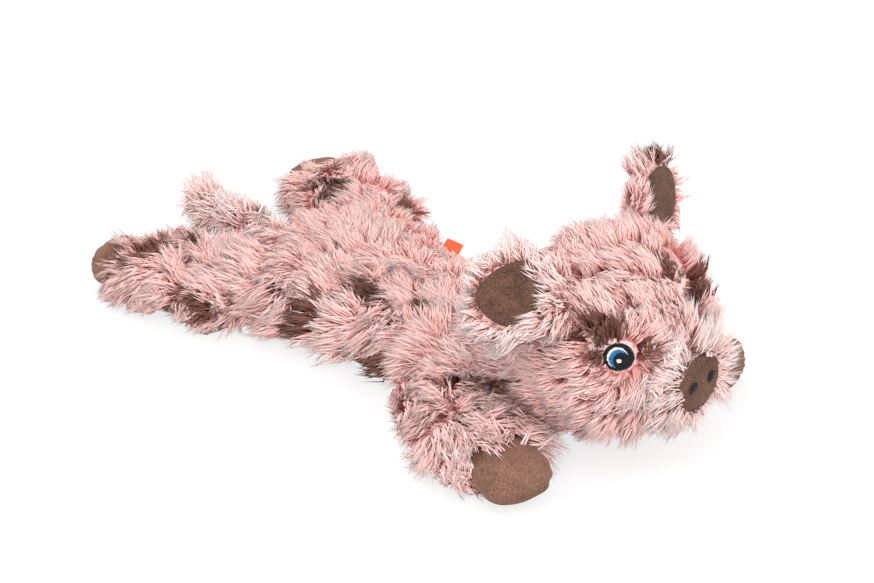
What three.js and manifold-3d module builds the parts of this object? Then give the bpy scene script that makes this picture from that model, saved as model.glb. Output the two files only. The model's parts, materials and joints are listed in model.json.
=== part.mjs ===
// A flat plush pig: a stuffed head, a barely filled body and four limp legs, lying on its belly.
// Millimetres, +X to the snout, +Y to the pig's left, +Z up. The origin is on the belly, on the floor.
import * as THREE from 'three';
import { mergeVertices } from 'three/addons/utils/BufferGeometryUtils.js';
import Module from 'manifold-3d';

const wasm = await Module();
wasm.setup();

// General clearances
const sewnGap = 0.3;
const overrun = 160;
const floorCutDepth = 0.5;

// Torso: two long-pile panels sewn together along the sides, over a thin wadding
const torsoAhead = 104;
const torsoBehind = 114;
const torsoThickness = 39;
const torsoRoundFront = 34;
const torsoRoundRear = 26;
const hipHalfWidth = 69;
const waistHalfWidth = 54;
const shoulderHalfWidth = 54;
const hipAt = -74;
const waistAt = 16;
const shoulderAt = 74;
const panelThickness = 9;

// Head: a stuffed ball, flatter in front, with a short muzzle
const headRadius = 60;
const faceReach = 47;
const headAheadOfTorso = 44;
const headSideways = 7.5;
const headTiltAngle = 6;
const headWall = 9;
const muzzleReach = 54;
const muzzleHalfWidth = 31;
const muzzleHalfHeight = 29;
const muzzleDrop = 6;
const muzzleRound = 9;
const neckOpeningMargin = 1.5;
const neckThickness = 11;
const neckHalfHeight = 22;
const neckRise = 34;

// Snout pad and nostrils
const padHalfWidth = 20;
const padHalfHeight = 19;
const padThickness = 9;
const padRoundFront = 6;
const padRoundBack = 3;
const padSink = 7;
const nostrilLength = 7.4;
const nostrilWidth = 4.4;
const nostrilSpacing = 14;
const nostrilLean = 24;
const nostrilDrop = 3;
const embroideryThickness = 1.1;

// Eyes: embroidered, each in a shorn hollow of the pile
const eyeAzimuth = 50;
const eyeElevation = 24;
const eyeHalfWidth = 8;
const eyeHalfHeight = 7.2;
const eyeHollowDepth = 4;
const eyeHollowMargin = 1.4;
const whiteRadius = 6;
const whiteBack = 0.6;
const whiteDrop = 0.6;
const irisRadius = 5.7;
const irisAhead = 0.2;
const irisDrop = 1.4;
const pupilRadius = 4.4;
const pupilAhead = 1.7;
const pupilDrop = 2.2;
const glintRadius = 1.4;
const glintBack = 0.5;

// Squeaker, inside the head's stuffing
const squeakerRadius = 16;
const squeakerHeight = 17;
const squeakerWall = 1.4;
const squeakerPortRadius = 5;
const squeakerFolds = 3;
const squeakerFoldDepth = 2;
const reedSlotWidth = 1.2;

// Ears: a leaf of pile with a short-pile lining let into it
const earLength = 41;
const earHalfWidth = 23;
const earRootHalfWidth = 13;
const earHalfThickness = 5.5;
const earFullShare = 0.45;
const earLeftAzimuth = 115;
const earRightAzimuth = 98;
const earLeftElevation = 41;
const earRightElevation = 45;
const earLeftSeamAngle = -90;
const earRightSeamAngle = 127;
const earRightFoldAngle = -58;
const liningHalfWidth = 18;
const liningRootHalfWidth = 11;
const liningLength = 36;
const liningThickness = 4;
const liningSink = 1.6;
const liningStart = 2;

// Legs
const legHalfThickness = 17;
const legEndHalfThickness = 14;
const legKnuckleRadius = 15.5;
const foreSeamX = 72;
const foreSeamInset = 6;
const foreSeamHalfLength = 36;
const foreHalfWidth = 35;
const foreRootHalfWidth = 35;
const foreReach = 68;
const foreHeading = 24;
const foreSetBack = 10;
const hindSeamX = 91;
const hindSeamInset = 14;
const hindHalfWidth = 34;
const hindRootHalfWidth = 36;
const hindReach = 70;
const hindHeading = 17.5;
const legEndHalfWidth = 28;
const legFullShare = 0.5;
const seamMargin = 3;

// Trotters: padded mitts of short-pile fabric with a seam round the edge
const trotterLength = 29;
const trotterHalfWidth = 23;
const trotterHalfThickness = 12.5;
const trotterKnuckleRadius = 10.5;
const trotterSeamWidth = 1.1;
const trotterSeamHalfThickness = 1.3;

// Tail
const tailPivotBehind = 102;
const tailLength = 90;
const tailHalfWidth = 16;
const tailKnuckleRadius = 12;
const tailHalfThickness = 15.5;
const tailRootShare = 0.3;
const tailFullShare = 0.7;
const tailDrift = 8;
const tailRise = 4;

// Sewn-in side label, bare
const labelWidth = 16;
const labelReach = 11;
const labelThickness = 0.9;
const labelAt = -28;
const labelLiftAngle = 30;
const labelRootDepth = 6;

// How far each seam lets its limb swing, in degrees, for the room that is cut for it
const foreUp = 25;
const foreDown = 70;
const hindUp = 60;
const hindDown = 60;
const trotterUp = 35;
const trotterDown = 45;
const tailSwing = 22;

// Colours
const pilePink = 0xe9c4c1;
const pileShade = 0xd9a6a6;
const shortPileBrown = 0x7d675c;
const threadBlack = 0x101012;
const threadWhite = 0xf4f4f2;
const threadBlue = 0x2f86c4;
const wadWhite = 0xf3f1ec;
const squeakerWhite = 0xdedede;
const labelOrange = 0xf0642d;

// How square a stuffed shape's section is: two is an ellipse, and more is fuller at the corners
const roundFullness = 2;
const mittFullness = 2.3;
const limbFullness = 2.5;
const torsoFullness = 3;

// Facets
const formSides = 16;
const formRings = 12;
const smallSides = 12;
const smallRings = 8;
const ballSides = 24;
const ballRings = 18;
const cutterSides = 40;
const cutterRings = 28;
const discSides = 14;
const arcSteps = 5;
const swingSteps = 6;

// Places that follow from the sizes
const torsoMid = torsoThickness / 2 - floorCutDepth;
const legMid = legHalfThickness - floorCutDepth;
const trotterMid = trotterHalfThickness - floorCutDepth;
const tailMid = tailHalfThickness - floorCutDepth;
const headCentre = new THREE.Vector3(
  torsoAhead + headAheadOfTorso,
  headSideways,
  headRadius - floorCutDepth,
);
const neckOuterRadius = headRadius + sewnGap + neckThickness;
const foreSeamY = shoulderHalfWidth - foreSeamInset;
const hindSeamY = hipHalfWidth - hindSeamInset;
const neckHalfWidth = foreSeamY - legKnuckleRadius - 2 * sewnGap - Math.abs(headSideways);
const neckDrop = headCentre.z - neckRise;
const neckBehind = Math.sqrt(neckOuterRadius ** 2 - neckDrop ** 2);
const neckward = new THREE.Vector3(-neckBehind, 0, -neckDrop).normalize();
const up = new THREE.Vector3(0, 0, 1);
const forward = new THREE.Vector3(1, 0, 0);
const backward = new THREE.Vector3(-1, 0, 0);

const radians = THREE.MathUtils.degToRad;

// A direction in the floor's plane, turned from straight ahead towards the left
function headingVector(degrees) {
  return new THREE.Vector3(Math.cos(radians(degrees)), Math.sin(radians(degrees)), 0);
}

// A direction given by its turn from straight ahead and its rise
function directionVector(azimuth, elevation) {
  return headingVector(azimuth)
    .multiplyScalar(Math.cos(radians(elevation)))
    .addScaledVector(up, Math.sin(radians(elevation)));
}

// Turns a closed geometry into a solid that can be joined and cut
function solidOf(geometry) {
  const bare = geometry.clone();
  bare.deleteAttribute('normal');
  bare.deleteAttribute('uv');
  const merged = mergeVertices(bare);
  return new wasm.Manifold(new wasm.Mesh({
    numProp: 3,
    vertProperties: new Float32Array(merged.attributes.position.array),
    triVerts: new Uint32Array(merged.index.array),
  }));
}

// The same solid as a named mesh of the scene
function meshOf(name, solid, material) {
  const result = solid.getMesh();
  const geometry = new THREE.BufferGeometry();
  geometry.setAttribute('position', new THREE.BufferAttribute(new Float32Array(result.vertProperties), 3));
  geometry.setIndex(new THREE.BufferAttribute(new Uint32Array(result.triVerts), 1));
  geometry.computeVertexNormals();
  const mesh = new THREE.Mesh(geometry, material);
  mesh.name = name;
  return mesh;
}

// Reads a value between stations, each a pair of a share of the length and a size
function between(stations, share) {
  let value = stations[0][1];
  for (let i = 1; i < stations.length; i += 1) {
    const [before, low] = stations[i - 1];
    const [after, high] = stations[i];
    if (share > before) {
      const step = THREE.MathUtils.smoothstep(share, before, after);
      value = low + (high - low) * step;
    }
  }
  return value;
}

// How far an end is drawn in where it rounds off, from nothing at the tip to one
function rounding(distance, round) {
  const inside = Math.max(1 - distance / Math.max(round, sewnGap), 0);
  return Math.sqrt(Math.max(1 - inside * inside, 0));
}

// A stuffed shape along a centre line, which swells and tapers and is rounded at both ends.
// The line is a curve, the widths and heights are stations, and grow makes it larger all round.
function stuffedForm({
  line, halfWidths, halfHeights, roundStart, roundEnd,
  sides = formSides, rings = formRings, grow = 0, fullness = limbFullness, faceUp = up,
}) {
  const geometry = new THREE.SphereGeometry(1, sides, rings).rotateZ(-Math.PI / 2);
  const points = geometry.attributes.position;
  const length = line.getLength();
  const fullLength = length + 2 * grow;
  const soften = 2 / fullness;
  const swell = (part) => Math.sign(part) * Math.abs(part) ** soften;
  for (let i = 0; i < points.count; i += 1) {
    const along = THREE.MathUtils.clamp((points.getX(i) + 1) / 2, 0, 1);
    const distance = along * fullLength;
    const share = THREE.MathUtils.clamp((distance - grow) / length, 0, 1);
    const centre = line.getPointAt(share);
    const ahead = line.getTangentAt(share);
    const across = new THREE.Vector3().crossVectors(faceUp, ahead).normalize();
    const over = new THREE.Vector3().crossVectors(ahead, across);
    const end = rounding(distance, roundStart + grow)
      * rounding(fullLength - distance, roundEnd + grow);
    const ringRadius = Math.hypot(points.getY(i), points.getZ(i)) || 1;
    const wide = swell(points.getY(i) / ringRadius) * end * (between(halfWidths, share) + grow);
    const high = swell(points.getZ(i) / ringRadius) * end * (between(halfHeights, share) + grow);
    centre.addScaledVector(ahead, distance - grow - share * length);
    centre.addScaledVector(across, wide).addScaledVector(over, high);
    points.setXYZ(i, centre.x, centre.y, centre.z);
  }
  return solidOf(geometry);
}

// A straight centre line
function straight(from, to) {
  return new THREE.LineCurve3(from, to);
}

// A box given by its lowest and highest corners
function boxBetween(low, high) {
  const size = new THREE.Vector3().subVectors(high, low);
  const middle = new THREE.Vector3().addVectors(high, low).multiplyScalar(0.5);
  const box = new THREE.BoxGeometry(size.x, size.y, size.z);
  return solidOf(box.translate(middle.x, middle.y, middle.z));
}

// An outline pushed along an axis, half to each side of its middle.
// The outline's own axes are outward and upward, square to the axis.
function prismAcross({ shape, pivot, outward, upward, length }) {
  const prism = new THREE.ExtrudeGeometry(shape, {
    depth: length,
    bevelEnabled: false,
    curveSegments: arcSteps,
  });
  prism.translate(0, 0, -length / 2);
  const axis = new THREE.Vector3().crossVectors(outward, upward);
  const place = new THREE.Matrix4().makeBasis(outward, upward, axis).setPosition(pivot);
  return solidOf(prism.applyMatrix4(place));
}

// The part of a limb that is kept at its seam: a round knuckle, and all that lies outward of it
function knuckle({ pivot, outward, upward, radius }) {
  const shape = new THREE.Shape();
  shape.moveTo(0, -overrun);
  shape.lineTo(overrun, -overrun);
  shape.lineTo(overrun, overrun);
  shape.lineTo(0, overrun);
  shape.lineTo(0, radius);
  shape.absarc(0, 0, radius, Math.PI / 2, 1.5 * Math.PI, false);
  shape.lineTo(0, -overrun);
  return prismAcross({ shape, pivot, outward, upward, length: 2 * overrun });
}

// The room that a limb needs in what it is sewn to, for its knuckle and for its whole swing
function knuckleRoom({ pivot, outward, upward, radius, halfThickness, raise, lower, halfLength, extra = 0 }) {
  const near = radius + sewnGap + extra;
  const wide = Math.max(halfThickness, radius) + sewnGap + extra;
  const raised = radians(raise);
  const lowered = radians(lower);
  const backUp = Math.PI / 2 + raised;
  const backDown = 1.5 * Math.PI - lowered;
  const shape = new THREE.Shape();
  const corner = (size, angle) => [size * Math.cos(angle), size * Math.sin(angle)];
  const [topX, topY] = corner(wide, backUp);
  const [lowX, lowY] = corner(wide, backDown);
  shape.moveTo(...corner(near, backUp));
  shape.lineTo(topX, topY);
  shape.lineTo(topX + overrun * Math.cos(raised), topY + overrun * Math.sin(raised));
  shape.lineTo(lowX + overrun * Math.cos(lowered), lowY - overrun * Math.sin(lowered));
  shape.lineTo(lowX, lowY);
  shape.lineTo(...corner(near, backDown));
  shape.absarc(0, 0, near, backDown, backUp, true);
  return prismAcross({ shape, pivot, outward, upward, length: 2 * (halfLength + extra) });
}

// Everything under the floor, cut away from what lies on it
const underFloor = boxBetween(
  new THREE.Vector3(-2 * overrun, -2 * overrun, -overrun),
  new THREE.Vector3(2 * overrun, 2 * overrun, 0),
);

// Where each leg is sewn on, and which way it lies, for the right (-1) or the left (1) side
function foreleg(side) {
  const pivot = new THREE.Vector3(foreSeamX, side * foreSeamY, legMid);
  const outward = new THREE.Vector3(0, side, 0);
  const heading = headingVector(side * foreHeading);
  const root = new THREE.Vector3(foreSeamX - foreSetBack, side * (foreSeamY - legKnuckleRadius), legMid);
  const cuff = pivot.clone().addScaledVector(heading, foreReach).setZ(trotterMid);
  return {
    side, pivot, outward, heading, root, cuff,
    raise: foreUp, lower: foreDown, seamHalfLength: foreSeamHalfLength,
    rootHalfWidth: foreRootHalfWidth, halfWidth: foreHalfWidth,
  };
}

function hindleg(side) {
  const pivot = new THREE.Vector3(-hindSeamX, side * hindSeamY, legMid);
  const heading = headingVector(side * (180 - hindHeading));
  const outward = heading.clone();
  const root = pivot.clone().addScaledVector(heading, -legKnuckleRadius);
  const cuff = pivot.clone().addScaledVector(heading, hindReach).setZ(trotterMid);
  return {
    side, pivot, outward, heading, root, cuff,
    raise: hindUp, lower: hindDown, seamHalfLength: hindRootHalfWidth + seamMargin,
    rootHalfWidth: hindRootHalfWidth, halfWidth: hindHalfWidth,
  };
}

const legs = {
  foreleg_right: foreleg(-1),
  foreleg_left: foreleg(1),
  hindleg_right: hindleg(-1),
  hindleg_left: hindleg(1),
};

function legRoom(leg, extra = 0) {
  return knuckleRoom({
    pivot: leg.pivot, outward: leg.outward, upward: up,
    radius: legKnuckleRadius, halfThickness: legHalfThickness,
    raise: leg.raise, lower: leg.lower, halfLength: leg.seamHalfLength, extra,
  });
}

// The tail's seam stands upright, so that the tail wags from side to side
const tailPivot = new THREE.Vector3(-tailPivotBehind, 0, tailMid);

function tailRoom(extra = 0) {
  return knuckleRoom({
    pivot: tailPivot, outward: backward, upward: new THREE.Vector3(0, 1, 0),
    radius: tailKnuckleRadius, halfThickness: tailHalfWidth,
    raise: tailSwing, lower: tailSwing, halfLength: overrun, extra,
  });
}

// A ball about the head's middle, which everything round the head is cut by
function headBall(radius) {
  const ball = new THREE.SphereGeometry(radius, cutterSides, cutterRings);
  return solidOf(ball.translate(headCentre.x, headCentre.y, headCentre.z));
}

// The slot in the front of the torso that the neck swings up and down in
function neckRoom() {
  const low = new THREE.Vector3(-overrun, -(neckHalfWidth + sewnGap), -overrun).add(headCentre);
  const high = new THREE.Vector3(overrun, neckHalfWidth + sewnGap, overrun).add(headCentre);
  return headBall(neckOuterRadius + sewnGap)
    .intersect(boxBetween(low, high))
    .add(headBall(headRadius + sewnGap));
}

// The torso's outer form, or with a negative grow what lies inside it
function torsoForm(grow, sides = ballSides, rings = ballRings) {
  const length = torsoAhead + torsoBehind;
  const lengthShare = (x) => (x + torsoBehind) / length;
  return stuffedForm({
    line: straight(
      new THREE.Vector3(-torsoBehind, 0, torsoMid),
      new THREE.Vector3(torsoAhead, 0, torsoMid),
    ),
    halfWidths: [
      [lengthShare(hipAt), hipHalfWidth],
      [lengthShare(waistAt), waistHalfWidth],
      [lengthShare(shoulderAt), shoulderHalfWidth],
    ],
    halfHeights: [[0, torsoThickness / 2]],
    roundStart: torsoRoundRear,
    roundEnd: torsoRoundFront,
    grow,
    sides,
    rings,
    fullness: torsoFullness,
  });
}

// The rooms for the legs and the tail, together
function allRooms(extra = 0) {
  return Object.values(legs)
    .map((leg) => legRoom(leg, extra))
    .reduce((sum, room) => sum.add(room), tailRoom(extra));
}

const rooms = allRooms();
const neckSpace = neckRoom();

function torsoShell() {
  const cavity = torsoForm(-panelThickness, formSides, formRings).subtract(allRooms(panelThickness));
  return torsoForm(0).subtract(cavity).subtract(rooms).subtract(neckSpace).subtract(underFloor);
}

const shell = torsoShell();

// The torso's two panels meet at the side seam, half way up
function torsoHalf(above) {
  const edge = torsoMid + (above ? sewnGap / 2 : -sewnGap / 2);
  const low = new THREE.Vector3(-2 * overrun, -2 * overrun, above ? edge : -overrun);
  const high = new THREE.Vector3(2 * overrun, 2 * overrun, above ? overrun : edge);
  return shell.intersect(boxBetween(low, high));
}

function torsoWadding() {
  return torsoForm(-(panelThickness + sewnGap), formSides, formRings)
    .subtract(allRooms(panelThickness + sewnGap))
    .subtract(neckSpace);
}

// The neck's collar: a dish of fabric, between the torso's hollow and the head
function neckCollar() {
  const tube = stuffedForm({
    line: straight(
      new THREE.Vector3(headCentre.x - neckOuterRadius - neckThickness, headCentre.y, neckRise),
      new THREE.Vector3(headCentre.x, headCentre.y, neckRise),
    ),
    halfWidths: [[0, neckHalfWidth]],
    halfHeights: [[0, neckHalfHeight]],
    roundStart: neckThickness,
    roundEnd: neckThickness,
    sides: formSides,
    rings: smallRings,
  });
  return tube.intersect(headBall(neckOuterRadius)).subtract(headBall(headRadius + sewnGap));
}

// A point or direction of the head, which is tilted a little to its right side
function onHead(x, y, z) {
  return new THREE.Vector3(x, y, z).applyAxisAngle(forward, radians(headTiltAngle)).add(headCentre);
}

function headDirection(azimuth, elevation) {
  return directionVector(azimuth, elevation).applyAxisAngle(forward, radians(headTiltAngle));
}

const headUp = up.clone().applyAxisAngle(forward, radians(headTiltAngle));
const headLeft = new THREE.Vector3().crossVectors(headUp, forward);

function muzzle(grow) {
  return stuffedForm({
    line: new THREE.QuadraticBezierCurve3(
      onHead(0, 0, 0),
      onHead(muzzleReach / 2, 0, -muzzleDrop),
      onHead(muzzleReach, 0, -muzzleDrop),
    ),
    halfWidths: [[0, muzzleHalfWidth + muzzleRound], [1, muzzleHalfWidth]],
    halfHeights: [[0, muzzleHalfHeight + muzzleRound], [1, muzzleHalfHeight]],
    roundStart: muzzleRound,
    roundEnd: muzzleRound,
    faceUp: headUp,
    grow,
    rings: smallRings,
    fullness: roundFullness,
  });
}

function headForm(grow, sides = ballSides, rings = ballRings) {
  return stuffedForm({
    line: straight(onHead(-headRadius, 0, 0), onHead(faceReach, 0, 0)),
    halfWidths: [[0, headRadius]],
    halfHeights: [[0, headRadius]],
    roundStart: headRadius,
    roundEnd: faceReach,
    grow,
    sides,
    rings,
    fullness: roundFullness,
  }).add(muzzle(grow));
}

// A round bar along a direction, from a point
function barAlong(from, direction, radius, length) {
  const bar = new THREE.CylinderGeometry(radius, radius, length, formSides);
  bar.translate(0, length / 2, 0);
  const turn = new THREE.Quaternion().setFromUnitVectors(new THREE.Vector3(0, 1, 0), direction);
  return solidOf(bar.applyQuaternion(turn).translate(from.x, from.y, from.z));
}

// How far the head's surface is from its middle, in a direction
function surfaceReach(direction) {
  const ahead = Math.max(direction.dot(forward), 0);
  const aside = 1 - ahead * ahead;
  return 1 / Math.sqrt((ahead / faceReach) ** 2 + aside / headRadius ** 2);
}

// The eye's middle, at the bottom of its hollow, and its own right, up and outward directions
function eyePlace(side) {
  const outward = headDirection(side * eyeAzimuth, eyeElevation);
  const seat = headCentre.clone().addScaledVector(outward, surfaceReach(outward) - eyeHollowDepth);
  const ahead = new THREE.Vector3().crossVectors(outward, headUp).normalize().multiplyScalar(side);
  const over = new THREE.Vector3().crossVectors(outward, ahead).multiplyScalar(-side).normalize();
  return { side, outward, seat, ahead, over };
}

const eyes = { right: eyePlace(-1), left: eyePlace(1) };

// A short elliptical plug on the eye, moved by shares of the eye's own size towards the snout and up
function eyeDisc(eye, halfWidth, halfHeight, low, high, aheadBy = 0, overBy = 0) {
  const disc = new THREE.CylinderGeometry(1, 1, 1, discSides);
  disc.scale(halfWidth, high - low, halfHeight);
  disc.translate(0, (high + low) / 2, 0);
  const across = new THREE.Vector3().crossVectors(eye.outward, eye.over);
  const place = new THREE.Matrix4().makeBasis(across, eye.outward, eye.over);
  disc.applyMatrix4(place);
  const middle = eye.seat.clone()
    .addScaledVector(eye.ahead, aheadBy)
    .addScaledVector(eye.over, overBy);
  return solidOf(disc.translate(middle.x, middle.y, middle.z));
}

// The black, white and blue threads of one eye, side by side on the backing
function eyeThreads(eye) {
  const low = sewnGap;
  const high = sewnGap + embroideryThickness;
  const plug = (radius, ahead, drop) => eyeDisc(eye, radius, radius, low, high, ahead, -drop);
  const bore = (radius, ahead, drop) => (
    eyeDisc(eye, radius, radius, low - overrun, high + overrun, ahead, -drop)
  );
  const white = plug(whiteRadius, -whiteBack, whiteDrop);
  const whiteHole = bore(whiteRadius + sewnGap, -whiteBack, whiteDrop);
  const blueTool = bore(irisRadius, irisAhead, irisDrop);
  const blueHole = bore(irisRadius + sewnGap, irisAhead, irisDrop);
  const pupilTool = bore(pupilRadius, pupilAhead, pupilDrop);
  const pupilHole = bore(pupilRadius + sewnGap, pupilAhead, pupilDrop);
  const glintHole = bore(glintRadius + sewnGap, -glintBack, pupilDrop);
  const whole = eyeDisc(eye, eyeHalfWidth, eyeHalfHeight, low, high);
  return {
    black: whole.subtract(whiteHole.subtract(pupilTool)).subtract(glintHole),
    white: white.subtract(blueHole).subtract(pupilHole),
    blue: white.intersect(blueTool).subtract(pupilHole),
    glint: plug(glintRadius, -glintBack, pupilDrop),
  };
}

// The pad's seat on the muzzle's end, and the directions of its face
const padSeat = onHead(muzzleReach - padSink, 0, -muzzleDrop);

function snoutPadForm(grow) {
  return stuffedForm({
    line: straight(
      padSeat.clone().addScaledVector(forward, sewnGap),
      padSeat.clone().addScaledVector(forward, sewnGap + padThickness),
    ),
    halfWidths: [[0, padHalfWidth]],
    halfHeights: [[0, padHalfHeight]],
    roundStart: padRoundBack,
    roundEnd: padRoundFront,
    faceUp: headUp,
    grow,
    sides: ballSides,
    rings: smallRings,
    fullness: roundFullness,
  });
}

// The muzzle's hollow, which the pad is sewn into
function padHollow() {
  const from = padSeat.clone().addScaledVector(forward, padRoundBack);
  return stuffedForm({
    line: straight(from, from.clone().addScaledVector(forward, overrun)),
    halfWidths: [[0, padHalfWidth + sewnGap]],
    halfHeights: [[0, padHalfHeight + sewnGap]],
    roundStart: sewnGap,
    roundEnd: sewnGap,
    faceUp: headUp,
    sides: ballSides,
    rings: smallRings,
    fullness: roundFullness,
  }).add(snoutPadForm(sewnGap));
}

// One embroidered nostril, a thin leaning oval that follows the pad's bulge
function nostril(side) {
  const oval = new THREE.CylinderGeometry(1, 1, 1, discSides);
  oval.scale(nostrilWidth / 2, padThickness, nostrilLength / 2);
  const place = new THREE.Matrix4().makeBasis(headLeft, forward, headUp.clone().negate());
  oval.rotateY(radians(-side * nostrilLean)).applyMatrix4(place);
  const middle = padSeat.clone()
    .addScaledVector(forward, padThickness)
    .addScaledVector(headLeft, side * nostrilSpacing / 2)
    .addScaledVector(headUp, -nostrilDrop);
  return solidOf(oval.translate(middle.x, middle.y, middle.z))
    .intersect(snoutPadForm(sewnGap + embroideryThickness))
    .subtract(snoutPadForm(sewnGap));
}

// The squeaker sits in the middle of the stuffing, in a pocket that opens at the neck
const squeakerSeat = headCentre.clone().addScaledVector(neckward, squeakerHeight / 2);

function squeakerPocket() {
  const bottom = squeakerSeat.clone().addScaledVector(neckward, -(squeakerHeight + sewnGap));
  return barAlong(bottom, neckward, squeakerRadius + sewnGap, overrun);
}

function headSkin() {
  const mouth = barAlong(headCentre, neckward, squeakerRadius + neckOpeningMargin, overrun);
  let skin = headForm(0)
    .subtract(headForm(-headWall, formSides, formRings))
    .subtract(mouth)
    .subtract(padHollow());
  for (const eye of Object.values(eyes)) {
    const hollow = eyeDisc(
      eye, eyeHalfWidth + eyeHollowMargin, eyeHalfHeight + eyeHollowMargin, 0, overrun,
    );
    skin = skin.subtract(hollow);
  }
  return skin.subtract(underFloor);
}

function headStuffing() {
  return headForm(-(headWall + sewnGap), formSides, formRings).subtract(squeakerPocket());
}

// The squeaker: folded bellows with a port at the back, open to the pocket
function squeakerBulb() {
  const outline = [];
  const inner = [];
  const steps = 2 * squeakerFolds;
  for (let i = 0; i <= steps; i += 1) {
    const radius = squeakerRadius - (i % 2) * squeakerFoldDepth;
    const height = squeakerHeight * i / steps;
    outline.push(new THREE.Vector2(radius, height));
    const innerHeight = THREE.MathUtils.clamp(height, squeakerWall, squeakerHeight - squeakerWall);
    inner.unshift(new THREE.Vector2(radius - squeakerWall, innerHeight));
  }
  const profile = [
    new THREE.Vector2(squeakerPortRadius, 0),
    ...outline,
    new THREE.Vector2(0, squeakerHeight),
    new THREE.Vector2(0, squeakerHeight - squeakerWall),
    ...inner,
    new THREE.Vector2(squeakerPortRadius, squeakerWall),
    new THREE.Vector2(squeakerPortRadius, 0),
  ];
  return solidOf(placeSqueaker(new THREE.LatheGeometry(profile, formSides)));
}

function placeSqueaker(geometry) {
  const inward = neckward.clone().negate();
  const turn = new THREE.Quaternion().setFromUnitVectors(new THREE.Vector3(0, 1, 0), inward);
  return geometry.applyQuaternion(turn).translate(squeakerSeat.x, squeakerSeat.y, squeakerSeat.z);
}

// The reed: a small plug in the port, with a slot across it
function squeakerReed() {
  const plug = new THREE.CylinderGeometry(
    squeakerPortRadius - sewnGap, squeakerPortRadius - sewnGap, 2 * squeakerWall, discSides,
  );
  const slot = new THREE.BoxGeometry(reedSlotWidth, squeakerWall, 2 * squeakerPortRadius);
  slot.translate(0, -squeakerWall, 0);
  return solidOf(placeSqueaker(plug)).subtract(solidOf(placeSqueaker(slot)));
}

// Where each ear is sewn to the head, which way it points, and the line of its seam
function earPlace(azimuth, elevation, seamAngle, foldAngle) {
  const outward = headDirection(azimuth, elevation);
  const tangent = new THREE.Vector3().crossVectors(headUp, outward).normalize();
  const seamLine = tangent.applyAxisAngle(outward, radians(seamAngle)).normalize();
  const pointing = outward.clone().applyAxisAngle(seamLine, radians(foldAngle));
  const face = new THREE.Vector3().crossVectors(seamLine, pointing);
  const pivot = headCentre.clone().addScaledVector(outward, headRadius + earHalfThickness + sewnGap);
  return { pivot, pointing, face, seamLine };
}

function earLeaf(ear, { start, length, halfWidth, rootHalfWidth, halfThickness, lift = 0 }) {
  const from = ear.pivot.clone().addScaledVector(ear.pointing, start).addScaledVector(ear.face, lift);
  return stuffedForm({
    line: straight(from, from.clone().addScaledVector(ear.pointing, length)),
    halfWidths: [[0, rootHalfWidth], [earFullShare, halfWidth]],
    halfHeights: [[0, halfThickness]],
    roundStart: halfThickness,
    roundEnd: halfWidth,
    faceUp: ear.face,
    sides: smallSides,
    rings: smallRings,
  });
}

// The lining's own leaf, let into the ear's face, and the same a little larger as its recess
function earLiningLeaf(ear, grow) {
  return earLeaf(ear, {
    start: liningStart - grow,
    length: liningLength + 2 * grow,
    halfWidth: liningHalfWidth + grow,
    rootHalfWidth: liningRootHalfWidth + grow,
    halfThickness: liningThickness / 2 + grow,
    lift: earHalfThickness - liningSink,
  });
}

function earPile(ear) {
  const keep = knuckle({
    pivot: ear.pivot, outward: ear.pointing, upward: ear.face, radius: earHalfThickness,
  });
  return earLeaf(ear, {
    start: -earHalfThickness,
    length: earLength + earHalfThickness,
    halfWidth: earHalfWidth,
    rootHalfWidth: earRootHalfWidth,
    halfThickness: earHalfThickness,
  }).intersect(keep).subtract(earLiningLeaf(ear, sewnGap)).subtract(headBall(headRadius + sewnGap));
}

// The left ear stands up, and the right ear has flopped back
const ears = {
  left: earPlace(earLeftAzimuth, earLeftElevation, earLeftSeamAngle, 0),
  right: earPlace(-earRightAzimuth, earRightElevation, earRightSeamAngle, earRightFoldAngle),
};

// The room that a trotter needs in the end of its leg
function trotterRoom(leg, extra = 0) {
  return knuckleRoom({
    pivot: leg.cuff, outward: leg.heading, upward: up,
    radius: trotterKnuckleRadius, halfThickness: trotterHalfThickness,
    raise: trotterUp, lower: trotterDown, halfLength: overrun / 2, extra,
  });
}

// The head's ball as a leg meets it, at each step of the leg's swing
function headSweep(leg) {
  const axis = new THREE.Vector3().crossVectors(leg.outward, up);
  const reach = headCentre.clone().sub(leg.pivot);
  const ball = headBall(headRadius + sewnGap);
  let sweep = ball;
  for (let i = 0; i <= swingSteps; i += 1) {
    const swing = THREE.MathUtils.lerp(-leg.lower, leg.raise, i / swingSteps);
    const shift = reach.clone().applyAxisAngle(axis, radians(-swing)).sub(reach);
    sweep = sweep.add(ball.translate(shift.toArray()));
  }
  return sweep;
}

function legForm(leg) {
  const beyond = leg.cuff.clone().addScaledVector(leg.heading, trotterKnuckleRadius);
  const turn = leg.pivot.clone().addScaledVector(leg.heading, legKnuckleRadius);
  const line = new THREE.QuadraticBezierCurve3(leg.root, turn, beyond);
  const knuckleShare = legKnuckleRadius / line.getLength();
  const keep = knuckle({
    pivot: leg.pivot, outward: leg.outward, upward: up, radius: legKnuckleRadius,
  });
  return stuffedForm({
    line,
    halfWidths: [[0, leg.rootHalfWidth], [legFullShare, leg.halfWidth], [1, legEndHalfWidth]],
    halfHeights: [
      [knuckleShare, legKnuckleRadius],
      [legFullShare, legHalfThickness],
      [1, legEndHalfThickness],
    ],
    roundStart: legKnuckleRadius,
    roundEnd: legEndHalfThickness,
  })
    .intersect(keep)
    .subtract(trotterRoom(leg))
    .subtract(headSweep(leg))
    .subtract(underFloor);
}

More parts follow.
